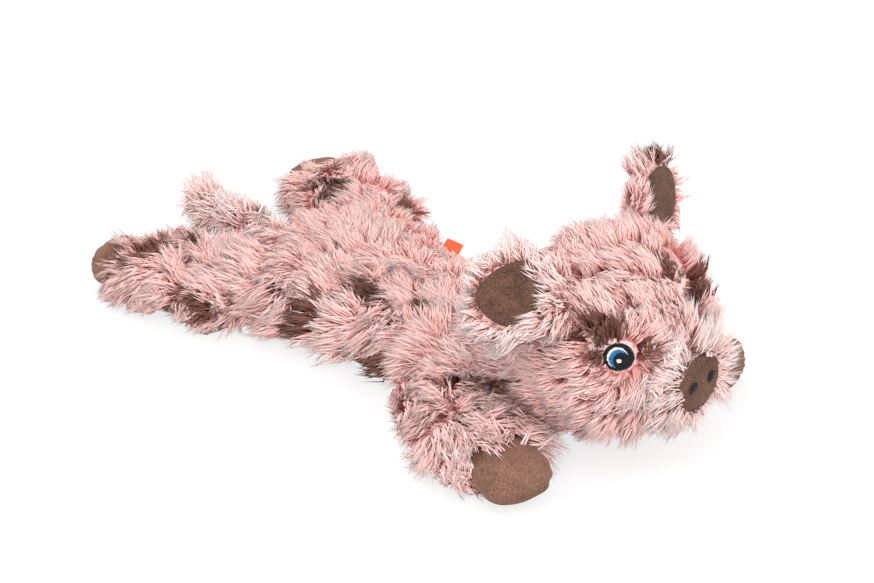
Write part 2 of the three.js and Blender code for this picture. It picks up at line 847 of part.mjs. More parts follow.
function trotterForm(leg) {
  const from = leg.cuff.clone().addScaledVector(leg.heading, -trotterKnuckleRadius);
  const to = leg.cuff.clone().addScaledVector(leg.heading, trotterLength);
  const keep = knuckle({
    pivot: leg.cuff, outward: leg.heading, upward: up, radius: trotterKnuckleRadius,
  });
  const knuckleShare = trotterKnuckleRadius / (trotterLength + trotterKnuckleRadius);
  const mitt = (wider, halfThickness) => stuffedForm({
    line: straight(from, to.clone().addScaledVector(leg.heading, wider)),
    halfWidths: [[0, trotterHalfWidth + wider]],
    halfHeights: [
      [knuckleShare, Math.min(trotterKnuckleRadius, halfThickness)],
      [2 * knuckleShare, halfThickness],
    ],
    roundStart: trotterKnuckleRadius,
    roundEnd: trotterHalfWidth,
    sides: smallSides,
    rings: smallRings,
    fullness: mittFullness,
  });
  return mitt(0, trotterHalfThickness)
    .add(mitt(trotterSeamWidth, trotterSeamHalfThickness))
    .intersect(keep)
    .subtract(underFloor);
}

function tailForm() {
  const keep = knuckle({
    pivot: tailPivot, outward: backward, upward: new THREE.Vector3(0, 1, 0), radius: tailKnuckleRadius,
  });
  const from = tailPivot.clone().addScaledVector(forward, tailKnuckleRadius);
  const to = tailPivot.clone().addScaledVector(backward, tailLength);
  to.y -= tailDrift;
  to.z += tailRise;
  return stuffedForm({
    line: new THREE.QuadraticBezierCurve3(from, tailPivot.clone().lerp(to, 0.5).setY(0), to),
    halfWidths: [[tailRootShare, tailKnuckleRadius], [tailFullShare, tailHalfWidth]],
    halfHeights: [[0, tailHalfThickness]],
    roundStart: tailKnuckleRadius,
    roundEnd: tailHalfWidth,
    sides: smallSides,
    rings: formRings,
    fullness: roundFullness,
  }).intersect(keep).subtract(underFloor);
}

// The label: a folded ribbon caught in the left side seam, lifted by the pile under it
function sideLabel() {
  const ribbon = new THREE.BoxGeometry(labelWidth, labelReach + labelRootDepth, labelThickness);
  ribbon.translate(0, (labelReach - labelRootDepth) / 2, 0);
  ribbon.rotateX(radians(labelLiftAngle));
  const share = THREE.MathUtils.smoothstep(labelAt, hipAt, waistAt);
  const reach = hipHalfWidth + (waistHalfWidth - hipHalfWidth) * share;
  ribbon.translate(labelAt, reach, torsoMid);
  return solidOf(ribbon).subtract(torsoForm(sewnGap));
}

function fabric(color, roughness = 0.95) {
  return new THREE.MeshStandardMaterial({ color, roughness, metalness: 0 });
}

const materials = {
  pile: fabric(pilePink),
  shade: fabric(pileShade),
  brown: fabric(shortPileBrown, 0.85),
  black: fabric(threadBlack, 0.45),
  white: fabric(threadWhite, 0.45),
  blue: fabric(threadBlue, 0.45),
  wad: fabric(wadWhite),
  plastic: fabric(squeakerWhite, 0.4),
  ribbon: fabric(labelOrange, 0.6),
};

function torsoGroup() {
  const group = new THREE.Group();
  group.add(meshOf('back_panel', torsoHalf(true), materials.pile));
  group.add(meshOf('belly_panel', torsoHalf(false), materials.pile));
  group.add(meshOf('torso_wadding', torsoWadding(), materials.wad));
  group.add(meshOf('side_label', sideLabel(), materials.ribbon));
  return group;
}

function headGroup() {
  const group = new THREE.Group();
  group.add(meshOf('head_skin', headSkin(), materials.pile));
  group.add(meshOf('head_stuffing', headStuffing(), materials.wad));
  group.add(meshOf('squeaker_bulb', squeakerBulb(), materials.plastic));
  group.add(meshOf('squeaker_reed', squeakerReed(), materials.plastic));
  group.add(meshOf('snout_pad', snoutPadForm(0), materials.brown));
  group.add(meshOf('nostril_right', nostril(-1), materials.black));
  group.add(meshOf('nostril_left', nostril(1), materials.black));
  for (const [name, eye] of Object.entries(eyes)) {
    const threads = eyeThreads(eye);
    group.add(meshOf(`eye_${name}_black_thread`, threads.black, materials.black));
    group.add(meshOf(`eye_${name}_white_thread`, threads.white, materials.white));
    group.add(meshOf(`eye_${name}_blue_thread`, threads.blue, materials.blue));
    group.add(meshOf(`eye_${name}_glint`, threads.glint, materials.white));
  }
  return group;
}

function limbGroup() {
  const group = new THREE.Group();
  for (const [name, leg] of Object.entries(legs)) {
    group.add(meshOf(name, legForm(leg), materials.pile));
    group.add(meshOf(name.replace('leg', '_trotter'), trotterForm(leg), materials.brown));
  }
  for (const [name, ear] of Object.entries(ears)) {
    group.add(meshOf(`ear_${name}`, earPile(ear), materials.pile));
    group.add(meshOf(`ear_lining_${name}`, earLiningLeaf(ear, 0), materials.brown));
  }
  group.add(meshOf('tail', tailForm(), materials.pile));
  return group;
}

const pig = new THREE.Group();
pig.add(torsoGroup());
pig.add(meshOf('neck_collar', neckCollar(), materials.shade));
pig.add(headGroup());
pig.add(limbGroup());

export default pig;
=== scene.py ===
"""Dresses the flat plush pig: stuffed skins, long clumped pile, embroidered eyes and padded trotters."""
import json
import math

import bpy
import numpy as np
from mathutils import Matrix, Vector, kdtree

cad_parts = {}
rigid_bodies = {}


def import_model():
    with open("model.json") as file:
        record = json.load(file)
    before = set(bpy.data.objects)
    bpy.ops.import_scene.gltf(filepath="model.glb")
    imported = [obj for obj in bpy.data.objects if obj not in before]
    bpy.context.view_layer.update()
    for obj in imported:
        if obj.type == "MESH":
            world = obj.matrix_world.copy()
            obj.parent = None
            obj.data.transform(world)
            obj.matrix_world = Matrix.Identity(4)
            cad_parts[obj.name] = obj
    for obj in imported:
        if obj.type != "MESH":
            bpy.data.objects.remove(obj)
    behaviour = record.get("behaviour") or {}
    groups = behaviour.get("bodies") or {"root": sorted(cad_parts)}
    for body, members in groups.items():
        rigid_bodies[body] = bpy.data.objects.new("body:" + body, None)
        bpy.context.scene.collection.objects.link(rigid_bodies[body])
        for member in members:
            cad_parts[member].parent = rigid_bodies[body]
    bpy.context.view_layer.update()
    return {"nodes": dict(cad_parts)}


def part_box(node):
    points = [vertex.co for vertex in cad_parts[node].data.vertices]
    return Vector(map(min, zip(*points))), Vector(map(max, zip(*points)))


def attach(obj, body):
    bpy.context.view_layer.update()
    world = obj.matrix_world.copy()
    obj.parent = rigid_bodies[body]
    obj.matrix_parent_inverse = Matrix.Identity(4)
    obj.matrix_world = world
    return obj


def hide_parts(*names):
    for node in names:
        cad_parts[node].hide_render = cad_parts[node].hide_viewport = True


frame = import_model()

bl_info = {
    "name": "Plush Pig",
    "version": (1, 0, 0),
    "blender": (4, 5, 0),
    "location": "View3D > Sidebar > Plush Pig",
    "description": "Dresses the plush pig in pile, embroidery, short-pile trotters and ears",
    "category": "Object",
}

MM = 0.001
SIDES = {"right": -1, "left": 1}
X = np.array((1.0, 0.0, 0.0))
Y = np.array((0.0, 1.0, 0.0))
UP = np.array((0.0, 0.0, 1.0))

# The solids' own sizes, in millimetres, which the skins follow
HEAD_MIDDLE = np.array((148.0, 7.5, 59.5))
HEAD_RADIUS = 60.0
FACE_REACH = 47.0
HEAD_TILT = 6.0
TORSO_AHEAD, TORSO_BEHIND, TORSO_MID, TORSO_HALF = 104.0, -114.0, 19.0, 19.5
LEG_MID, LEG_HALF, LEG_END_HALF, LEG_KNUCKLE = 16.5, 17.0, 14.0, 15.5
TROTTER_MID, TROTTER_HALF, TROTTER_WIDE, TROTTER_LONG = 12.0, 12.5, 23.0, 29.0
EYE_AZIMUTH, EYE_RISE, EYE_SINK, EYE_WIDE, EYE_HIGH = 50.0, 24.0, 4.0, 8.0, 7.2
EAR_AWAY, EAR_HALF, EAR_TURN, EAR_SWAY = 65.8, 3.4, -14, -34
PAD_SEAT_AHEAD, PAD_DROP, PAD_THICK, PAD_WIDE, PAD_HIGH = 47.0, 6.0, 9.0, 20.0, 19.0
NOSTRIL_ASIDE, NOSTRIL_UP = 7, 2

# One strand of pile: how many corners, faces, face corners and triangles it has
STRAND_CORNERS, STRAND_FACES, STRAND_LOOPS, STRAND_TRIANGLES = 7, 7, 24, 10
LOCK_SHAPES, LOCK_STRANDS = 8, 5
MOST_TRIANGLES = 190_000
# The share of locks that others lean into, how far those lean over, and how far they all sway
TUFT_SHARE, TUFT_PULL, TUFT_SWAY = 0.034, 0.46, 3.6
WISP_SHARE, WISP_PULL, WISP_SWAY = 0.16, 0.16, 0.9
# How many waves a gust adds up, and what evens their sum
GUST_WAVES, GUST_SPREAD = 7, 2.6
# Where the pink and the brown strands lie across the pile's map
PINK_SPAN, BROWN_START, BROWN_SPAN = 0.47, 0.54, 0.45

# Each kind of leg: its turn from straight ahead, its seam's place, its reach to the cuff and its widths
ARMPIT_AHEAD = 62.0
LEGS = {
    "fore": (24, 72.0, 48.0, 68, [(0, 35), (0.5, 35), (1, 28)]),
    "hind": (180 - 17.5, -91.0, 55.0, 70, [(0, 36), (0.5, 34), (1, 28)]),
}
# Each leg's pile: its length, what is added towards the end, how blunt the tip is, and the end's rise
LEG_PILE = {
    "foreleg_right": (1.0, 0.4, 0, 0),
    "foreleg_left": (0.9, -0.3, 0, 0),
    "hindleg_right": (1.12, -0.05, 0.15, 3),
    "hindleg_left": (0.7, 0.5, 0.85, 5),
}
# How much longer than its solid each mitt shows
MITT_MORE = {
    "fore_trotter_right": 4,
    "fore_trotter_left": 7,
    "hind_trotter_right": -4,
    "hind_trotter_left": -6,
}

# The photograph's view, in degrees, metres and millimetres of lens
VIEW_TURN, VIEW_RISE, VIEW_AWAY, VIEW_LENS = 45, 30, 1.375, 99
VIEW_MIDDLE = (0, 0.0185, 0.022)
# How far the floor reaches, in millimetres, and each lamp's place and width in metres and its power
FLOOR_REACH = 6000
LAMP_MIDDLE = (0.02, 0, 0.03)
LAMPS = {
    "key": ((0.8, -1.25, 2.1), 1.8, 37),
    "fill": ((1.7, 0.6, 1.5), 1.8, 13),
    "back": ((-1.6, 0.6, 1.9), 1.6, 20),
}

# Brown places in the pile: body, middle and half sizes, in millimetres
BROWN = {
    "head": [
        ((170, -32, 86), (12, 8, 7)),
        ((171, -38, 80), (8, 9, 8)),
        ((184, -22, 76), (4, 5, 5)),
        ((169, 20, 104), (9, 9, 10)),
        ((178, 27, 96), (9, 11, 12)),
    ],
    "torso": [
        ((-8, -25, 38), (16, 13, 13)),
        ((-25, -58, 28), (12, 13, 14)),
        ((30, -50, 14), (12, 11, 13)),
        ((28, -14, 38), (16, 6, 10)),
        ((86, -43, 34), (10, 7, 8)),
        ((-48, -9, 38), (7, 5, 8)),
    ],
    "foreleg_right": [
        ((88, -45, 31), (15, 10, 9)),
        ((134, -104, 6), (15, 12, 9)),
        ((98, -60, 32), (9, 5, 8)),
    ],
    "hindleg_right": [((-139, -71, 28), (9, 16, 12)), ((-72, -86, 20), (27, 7, 6))],
    "hindleg_left": [((-122, 51, 31), (14, 12, 12)), ((-78, 68, 29), (9, 11, 11))],
    "ear_left": [((119, 70, 141), (26, 14, 12)), ((112, 60, 124), (6, 14, 14))],
}
# Places where the pile is palest
PALE = {
    "head": [((200, 5, 56), (20, 40, 34))],
    "ear_right": [((110, -70, 105), (50, 50, 50))],
    "tail": [((-170, 0, 20), (60, 40, 40))],
}


# Small helpers


def unit(v):
    """The same direction, one long."""
    v = np.asarray(v, float)
    return v / np.maximum(np.linalg.norm(v, axis=-1, keepdims=True), 1e-9)


def turned(v, axis, degrees):
    """A direction turned about an axis by the right-hand rule."""
    a = math.radians(degrees)
    axis = unit(axis)
    v = np.asarray(v, float)
    return v * math.cos(a) + np.cross(axis, v) * math.sin(a) + axis * np.dot(v, axis) * (1 - math.cos(a))


def heading(degrees):
    """A direction in the floor's plane, turned from straight ahead towards the left."""
    return np.array((math.cos(math.radians(degrees)), math.sin(math.radians(degrees)), 0.0))


def head_direction(azimuth, rise):
    """A direction of the head, which is tilted a little to its right side."""
    e = math.radians(rise)
    return turned(heading(azimuth) * math.cos(e) + UP * math.sin(e), X, HEAD_TILT)


HEAD_UP = turned(UP, X, HEAD_TILT)
HEAD_LEFT = np.cross(HEAD_UP, X)


def on_head(x, y, z):
    """A point of the head, from its middle."""
    return HEAD_MIDDLE + turned(np.array((x, y, z), float), X, HEAD_TILT)


def smooth(share):
    """Eases a share from nothing to one."""
    share = np.clip(share, 0, 1)
    return share * share * (3 - 2 * share)


def past(values, start, over):
    """Eases from nothing at a start to one, over a distance."""
    return smooth((values - start) / over)


def away(at, spot):
    """How far each place is from a spot."""
    return np.linalg.norm(at - spot, axis=1)


def between(stations, share):
    """Reads a size between stations, each a share of the length and a size."""
    value = stations[0][1]
    for (before, low), (after, high) in zip(stations, stations[1:]):
        if share > before:
            value = low + (high - low) * float(smooth((share - before) / (after - before)))
    return value


def rounding(distance, reach):
    """How far an end is drawn in where it rounds off."""
    inside = max(1 - distance / max(reach, 0.3), 0)
    return math.sqrt(max(1 - inside * inside, 0))


def sample_line(points):
    """Samples of a straight line or of a curve with one bend, and how far along each one is."""
    t = np.linspace(0, 1, 97)[:, None]
    p = [np.asarray(q, float) for q in points]
    if len(p) == 2:
        path = p[0] * (1 - t) + p[1] * t
    else:
        path = p[0] * (1 - t) ** 2 + 2 * p[1] * t * (1 - t) + p[2] * t * t
    steps = np.linalg.norm(np.diff(path, axis=0), axis=1)
    return path, np.concatenate([[0], np.cumsum(steps)])


def stuffed(points, widths, heights, start, end, inset=0.0, fullness=2.5, face=UP, sides=40, rings=44):
    """Corners and faces of a stuffed form along a line, which swells, tapers and rounds off at its ends."""
    path, reach = sample_line(points)
    length = reach[-1]
    full = length - 2 * inset
    ways = np.gradient(path, axis=0)
    turn = np.linspace(0, 2 * math.pi, sides, endpoint=False)
    swell = lambda part: np.sign(part) * np.abs(part) ** (2 / fullness)
    corners = []
    for i in range(rings + 1):
        distance = full * (1 - math.cos(math.pi * i / rings)) / 2
        share = min(max((distance + inset) / length, 0), 1)
        spot = [np.interp(share * length, reach, path[:, k]) for k in range(3)]
        ahead = unit([np.interp(share * length, reach, ways[:, k]) for k in range(3)])
        across = unit(np.cross(face, ahead))
        over = np.cross(ahead, across)
        drawn = rounding(distance, start - inset) * rounding(full - distance, end - inset)
        middle = np.array(spot) + ahead * (distance + inset - share * length)
        if i in (0, rings):
            corners.append(middle[None])
            continue
        wide = swell(np.cos(turn)) * drawn * (between(widths, share) - inset)
        high = swell(np.sin(turn)) * drawn * (between(heights, share) - inset)
        corners.append(middle + wide[:, None] * across + high[:, None] * over)
    faces = []
    row = lambda i: 1 + (i - 1) * sides
    for k in range(sides):
        n = (k + 1) % sides
        faces.append((0, row(1) + n, row(1) + k))
        for i in range(1, rings - 1):
            faces.append((row(i) + k, row(i) + n, row(i + 1) + n, row(i + 1) + k))
        faces.append((row(rings - 1) + k, row(rings - 1) + n, row(rings)))
    return np.concatenate(corners), faces


def joined(*forms):
    """Several forms as one list of corners and one of faces."""
    corners, faces, count = [], [], 0
    for some, these in forms:
        corners.append(some)
        faces.extend(tuple(c + count for c in face) for face in these)
        count += len(some)
    return np.concatenate(corners), faces


def new_mesh(name, corners, faces):
    """A smooth-shaded mesh."""
    mesh = bpy.data.meshes.new(name)
    mesh.from_pydata(np.asarray(corners).tolist(), [], faces)
    mesh.update()
    return smoothed(mesh)


def smoothed(mesh):
    """Shades all faces of a mesh smooth."""
    mesh.polygons.foreach_set("use_smooth", np.ones(len(mesh.polygons), bool))
    return mesh


def linked(name, data):
    """An object in the scene, of a mesh, a lamp or a camera."""
    made = bpy.data.objects.new(name, data)
    bpy.context.scene.collection.objects.link(made)
    return made


def new_object(name, corners, faces):
    """A smooth-shaded mesh object in metres, from corners in millimetres."""
    return linked(name, new_mesh(name, np.asarray(corners) * MM, faces))


def settled(made):
    """Applies an object's modifiers to its mesh, and takes them off."""
    bpy.context.view_layer.update()
    shaped = made.evaluated_get(bpy.context.evaluated_depsgraph_get())
    mesh = bpy.data.meshes.new_from_object(shaped)
    old = made.data
    made.modifiers.clear()
    made.data = smoothed(mesh)
    mesh.name = made.name
    bpy.data.meshes.remove(old)
    return made


def melted(made, voxel, passes):
    """Joins a mesh's overlapping forms into one skin, and evens it."""
    remesh = made.modifiers.new("join", "REMESH")
    remesh.mode = "VOXEL"
    remesh.voxel_size = voxel * MM
    even = made.modifiers.new("even", "SMOOTH")
    even.factor = 0.5
    even.iterations = passes
    settled(made)


def pulled(items, field, width=1, kind=float):
    """One field of all of a mesh's items."""
    out = np.empty(len(items) * width, kind)
    items.foreach_get(field, out)
    return out.reshape(-1, width) if width > 1 else out


def places(mesh):
    """A mesh's vertices in millimetres."""
    return pulled(mesh.vertices, "co", 3) / MM


def outwards(mesh):
    """A mesh's vertex normals."""
    return pulled(mesh.vertex_normals, "vector", 3)


def set_places(mesh, corners):
    """Puts a mesh's vertices at places in millimetres."""
    mesh.vertices.foreach_set("co", (corners * MM).ravel())
    mesh.update()


def puckered(skin, depth, wave, seed):
    """Gives a stuffed skin the soft lumps of its filling."""
    mesh = skin.data
    at = places(mesh)
    set_places(mesh, at + outwards(mesh) * gust(at, wave, seed)[:, :1] * depth)


def keep_attribute(mesh, name, kind, values):
    """Stores one value for each vertex."""
    layer = mesh.attributes.get(name) or mesh.attributes.new(name, kind, "POINT")
    field = "vector" if kind == "FLOAT_VECTOR" else "value"
    layer.data.foreach_set(field, np.asarray(values, np.float32).ravel())


def read_attribute(mesh, name, width=1):
    """Reads one value for each vertex."""
    return pulled(mesh.attributes[name].data, "vector" if width == 3 else "value", width, np.float32)


def gust(points, wave, seed):
    """A smooth, repeatable wandering of directions over places, for tufts that lie this way and that."""
    chance = np.random.default_rng(seed)
    total = np.zeros((len(points), 3))
    for _ in range(GUST_WAVES):
        way = unit(chance.normal(size=3)) * 2 * math.pi / (wave * chance.uniform(0.7, 1.6))
        push = chance.normal(size=3)
        total += np.sin(points @ way + chance.uniform(0, 2 * math.pi))[:, None] * push
    return total / GUST_SPREAD


def linear(colour):
    """An sRGB colour of three parts from 0 to 255, as Blender's linear colour."""
    c = np.asarray(colour, float) / 255
    return tuple(np.where(c <= 0.04045, c / 12.92, ((c + 0.055) / 1.055) ** 2.4)) + (1.0,)


# Node trees


def feed(made, inputs):
    """Gives a node's inputs their values, or links outputs or other nodes' first outputs to them."""
    for name, value in inputs.items():
        if isinstance(value, bpy.types.Node):
            value = value.outputs[0]
        if isinstance(value, bpy.types.NodeSocket):
            made.id_data.links.new(value, made.inputs[name])
        else:
            made.inputs[name].default_value = value
    return made


def node(tree, kind, inputs=None, **settings):
    """A node with its settings, and with its inputs given or linked."""
    made = tree.nodes.new(kind)
    for name, value in settings.items():
        setattr(made, name, value)
    return feed(made, inputs or {})


def calculated(tree, operation, *values):
    """One step of arithmetic on values or outputs."""
    return node(tree, "ShaderNodeMath", dict(enumerate(values)), operation=operation)


def new_finish(name, roughness=0.9, sheen=0.0, sheen_tint=(1, 1, 1, 1), specular=0.3):
    """A material, as its tree and its shader."""
    finish = bpy.data.materials.new(name)
    finish.use_nodes = True
    return finish.node_tree, feed(finish.node_tree.nodes["Principled BSDF"], {
        "Roughness": roughness, "Specular IOR Level": specular,
        "Sheen Weight": sheen, "Sheen Tint": sheen_tint,
    })


def ramp(tree, stops, factor):
    """A colour ramp over a factor, with stops of a place and a colour."""
    made = node(tree, "ShaderNodeValToRGB", {"Fac": factor})
    band = made.color_ramp
    while len(band.elements) < len(stops):
        band.elements.new(0.5)
    for element, (place, colour) in zip(band.elements, stops):
        element.position = place
        element.color = colour
    return made


def multiplied(tree, one, other, factor):
    """A colour deepened by another one."""
    inputs = {"Factor": factor, "A": one, "B": other}
    return node(tree, "ShaderNodeMix", inputs, data_type="RGBA", blend_type="MULTIPLY").outputs["Result"]


def bump(tree, height, strength, distance):
    """A surface lifted by a texture."""
    return node(tree, "ShaderNodeBump", {"Height": height, "Strength": strength, "Distance": distance})


def pile_finish(colours):
    """Long pile: painted shade that darkens and warms each strand towards its root, pale tips, and strands
    that are pink or brown by their own map.
    """
    tree, shader = new_finish("long_pile", specular=0.04)
    own = node(tree, "ShaderNodeUVMap", uv_map="pile")
    part = node(tree, "ShaderNodeSeparateXYZ", {"Vector": own})
    tones = ramp(tree, [
        (0.0, linear(colours.tip)),
        (0.22, linear(colours.middle)),
        (0.46, linear(colours.pale)),
        (0.52, linear(colours.brown_light)),
        (0.72, linear(colours.brown)),
        (1.0, linear(colours.brown_dark)),
    ], part.outputs["X"])
    # The depth ramp is painted shade: strands darken and warm from their tips down to their roots.
    depth = ramp(tree, [
        (0.0, linear(colours.root)),
        (0.45, linear(colours.painted_shade_halfway)),
        (0.92, (1, 1, 1, 1)),
    ], part.outputs["Y"])
    fine = node(tree, "ShaderNodeMapping", {"Vector": own, "Scale": (140, 2.5, 1)})
    streak = node(tree, "ShaderNodeTexNoise", {"Vector": fine, "Scale": 1.0, "Detail": 2.0})
    speck = ramp(tree, [(0.3, (0.95, 0.9, 0.88, 1)), (0.6, (1, 1, 1, 1))], streak)
    # The strands' tones, deepened by the painted shade towards their roots.
    tones_with_painted_root_shade = multiplied(tree, tones, depth, 1.0)
    feed(shader, {"Base Color": multiplied(tree, tones_with_painted_root_shade, speck, 0.7)})


def cloth_finish(name, low, high, scale, strength=0.35, roughness=0.9, sheen=0.1, patch=40.0):
    """Short dense pile: fine nap with painted shade between its tufts and painted highlights on brushed
    patches, where they would catch the light.
    """
    tree, shader = new_finish(name, roughness, sheen, linear((255, 225, 212)), specular=0.12)
    own = {"Vector": node(tree, "ShaderNodeTexCoord").outputs["Object"]}
    nap = node(tree, "ShaderNodeTexNoise", {**own, "Scale": scale, "Detail": 4.0, "Roughness": 0.65})
    brushed = node(tree, "ShaderNodeTexNoise", {**own, "Scale": patch, "Detail": 3.0, "Distortion": 0.6})
    total = calculated(tree, "MULTIPLY_ADD", nap, 1.5, calculated(tree, "MULTIPLY", brushed, 0.6))
    share = node(tree, "ShaderNodeMapRange", {"Value": total, "From Min": 0.8, "From Max": 1.3})
    rough = {"Value": brushed, "To Min": roughness - 0.12, "To Max": min(roughness + 0.1, 1)}
    # The colour ramp runs from painted shade between the tufts to a painted highlight on the brushed patches.
    feed(shader, {
        "Base Color": ramp(tree, [(0.0, linear(low)), (1.0, linear(high))], share),
        "Normal": bump(tree, nap, strength, 0.0006),
        "Roughness": node(tree, "ShaderNodeMapRange", rough),
    })


def thread_finish(name, stops, strength, texture, inputs, **looks):
    """Threads side by side: their texture paints shade between them and lifts their surface."""
    tree, shader = new_finish(name, **looks)
    own = node(tree, "ShaderNodeTexCoord").outputs["Object"]
    ridges = node(tree, texture, {"Vector": own, **inputs}).outputs["Fac"]
    feed(shader, {
        "Base Color": ramp(tree, [(at, linear(colour)) for at, colour in stops], ridges),
        "Normal": bump(tree, ridges, strength, 0.0002),
    })


def silk_finish(name, colour, shade):
    """Satin stitch: glossy threads with a fine twist, with painted shade in its grooves."""
    thread_finish(
        name, [(0.35, shade), (0.65, colour)], 0.3, "ShaderNodeTexNoise", {"Scale": 1800.0, "Detail": 2.0},
        roughness=0.42, specular=0.35,
    )


def ribbon_finish(colours):
    """A woven ribbon: fine ribs across its length, with painted shade between them."""
    thread_finish(
        "label_ribbon", [(0.2, colours.label_shade), (0.8, colours.label)], 0.4, "ShaderNodeTexWave",
        {"Scale": 900.0, "Distortion": 0.4}, roughness=0.55, sheen=0.15,
    )


def group_tree(name, sockets):
    """An empty tree for a modifier with named inputs, what it is given and the node of what it makes."""
    tree = bpy.data.node_groups.new(name, "GeometryNodeTree")
    tree.interface.new_socket("Geometry", in_out="INPUT", socket_type="NodeSocketGeometry")
    tree.interface.new_socket("Geometry", in_out="OUTPUT", socket_type="NodeSocketGeometry")
    for label, kind in sockets.items():
        tree.interface.new_socket(label, in_out="INPUT", socket_type="NodeSocket" + kind)
    return tree, node(tree, "NodeGroupInput").outputs, node(tree, "NodeGroupOutput")


def named(tree, name, kind):
    """A value that is stored on the geometry by name."""
    return node(tree, "GeometryNodeInputNamedAttribute", {"Name": name}, data_type=kind)


def finished_tree(tree, given, made, instances):
    """Ends a tree: its instances are made real and get the finish."""
    real = node(tree, "GeometryNodeRealizeInstances", {"Geometry": instances})
    paint = node(tree, "GeometryNodeSetMaterial", {"Geometry": real, "Material": given["Finish"]})
    feed(made, {"Geometry": paint})
    return tree


def pile_tree():
    """Plants locks of pile all over a skin, each leaning the way that the skin is combed."""
    tree, given, made = group_tree("planted_pile", {
        "Spacing": "Float", "Length": "Float", "Unrest": "Float", "Seed": "Int",
        "Locks": "Collection", "Finish": "Material",
    })
    align = "FunctionNodeAlignRotationToVector"

    def random(offset, kind, limits, output):
        """A random value, with the tree's seed moved on by its own offset."""
        seed = calculated(tree, "ADD", given["Seed"], offset)
        return node(tree, "FunctionNodeRandomValue", {**limits, "Seed": seed}, data_type=kind).outputs[output]

    def vector(operation, inputs):
        """One step of arithmetic on vectors."""
        return node(tree, "ShaderNodeVectorMath", inputs, operation=operation)

    def stored(name, kind, geometry, value):
        """Stores a value on every instance."""
        inputs = {"Geometry": geometry, "Name": name, "Value": value}
        return node(tree, "GeometryNodeStoreNamedAttribute", inputs, data_type=kind, domain="INSTANCE")

    stray = random(11.0, "FLOAT_VECTOR", {0: (-1, -1, -1), 1: (1, 1, 1)}, 0)
    pick = random(108.0, "INT", {4: 0, 5: LOCK_SHAPES - 1}, 2)
    vary = random(205.0, "FLOAT", {2: 0.78, 3: 1.18}, 1)
    chance = random(302.0, "FLOAT", {}, 1)
    most = calculated(tree, "MULTIPLY", calculated(tree, "POWER", given["Spacing"], -2.0), 1.6)
    scatter = node(tree, "GeometryNodeDistributePointsOnFaces", {
        "Mesh": given["Geometry"], "Distance Min": given["Spacing"], "Density Max": most,
        "Density Factor": named(tree, "thick", "FLOAT"), "Seed": given["Seed"],
    }, distribute_method="POISSON")
    half = calculated(tree, "MULTIPLY", given["Unrest"], 0.5)
    upset = vector("SCALE", {0: stray, "Scale": half})
    upright = vector("ADD", {0: scatter.outputs["Normal"], 1: upset})
    unrest = vector("SCALE", {0: stray, "Scale": given["Unrest"]})
    wander = vector("ADD", {0: named(tree, "comb", "FLOAT_VECTOR"), 1: unrest})
    stand = node(tree, align, {"Vector": upright}, axis="Z")
    lean = node(tree, align, {"Rotation": stand, "Vector": wander}, axis="X", pivot_axis="Z")
    size = calculated(tree, "MULTIPLY", named(tree, "reach", "FLOAT"), vary)
    locks = node(tree, "GeometryNodeCollectionInfo", {
        "Collection": given["Locks"], "Separate Children": True, "Reset Children": True,
    })
    plant = node(tree, "GeometryNodeInstanceOnPoints", {
        "Points": scatter, "Instance": locks, "Pick Instance": True, "Instance Index": pick,
        "Rotation": lean, "Scale": calculated(tree, "MULTIPLY", size, given["Length"]),
    })
    root = stored("root", "FLOAT_VECTOR", plant, node(tree, "GeometryNodeInputPosition"))
    return finished_tree(tree, given, made, stored("chance", "FLOAT", root, chance))


def stitch_tree():
    """Lays one thread on each marked point, turned and stretched as the point says."""
    tree, given, made = group_tree("laid_stitches", {
        "Width": "Float", "Thread": "Object", "Finish": "Material",
    })
    thread = node(tree, "GeometryNodeObjectInfo", {"Object": given["Thread"]})
    size = {"X": named(tree, "stretch", "FLOAT"), "Y": given["Width"], "Z": given["Width"]}
    lay = node(tree, "GeometryNodeInstanceOnPoints", {
        "Points": node(tree, "GeometryNodeMeshToPoints", {"Mesh": given["Geometry"]}),
        "Instance": thread.outputs["Geometry"],
        "Rotation": named(tree, "turn", "FLOAT_VECTOR"),
        "Scale": node(tree, "ShaderNodeCombineXYZ", size),
    })
    return finished_tree(tree, given, made, lay)


def set_inputs(made, name, new_tree, values):
    """Gives an object a tree, and sets the tree's inputs by their sockets' identifiers."""
    modifier = made.modifiers.new(name, "NODES")
    modifier.node_group = bpy.data.node_groups.get(name) or new_tree()
    for item in modifier.node_group.interface.items_tree:
        if item.item_type == "SOCKET" and item.in_out == "INPUT" and item.name in values:
            modifier[item.identifier] = values[item.name]


# Pile


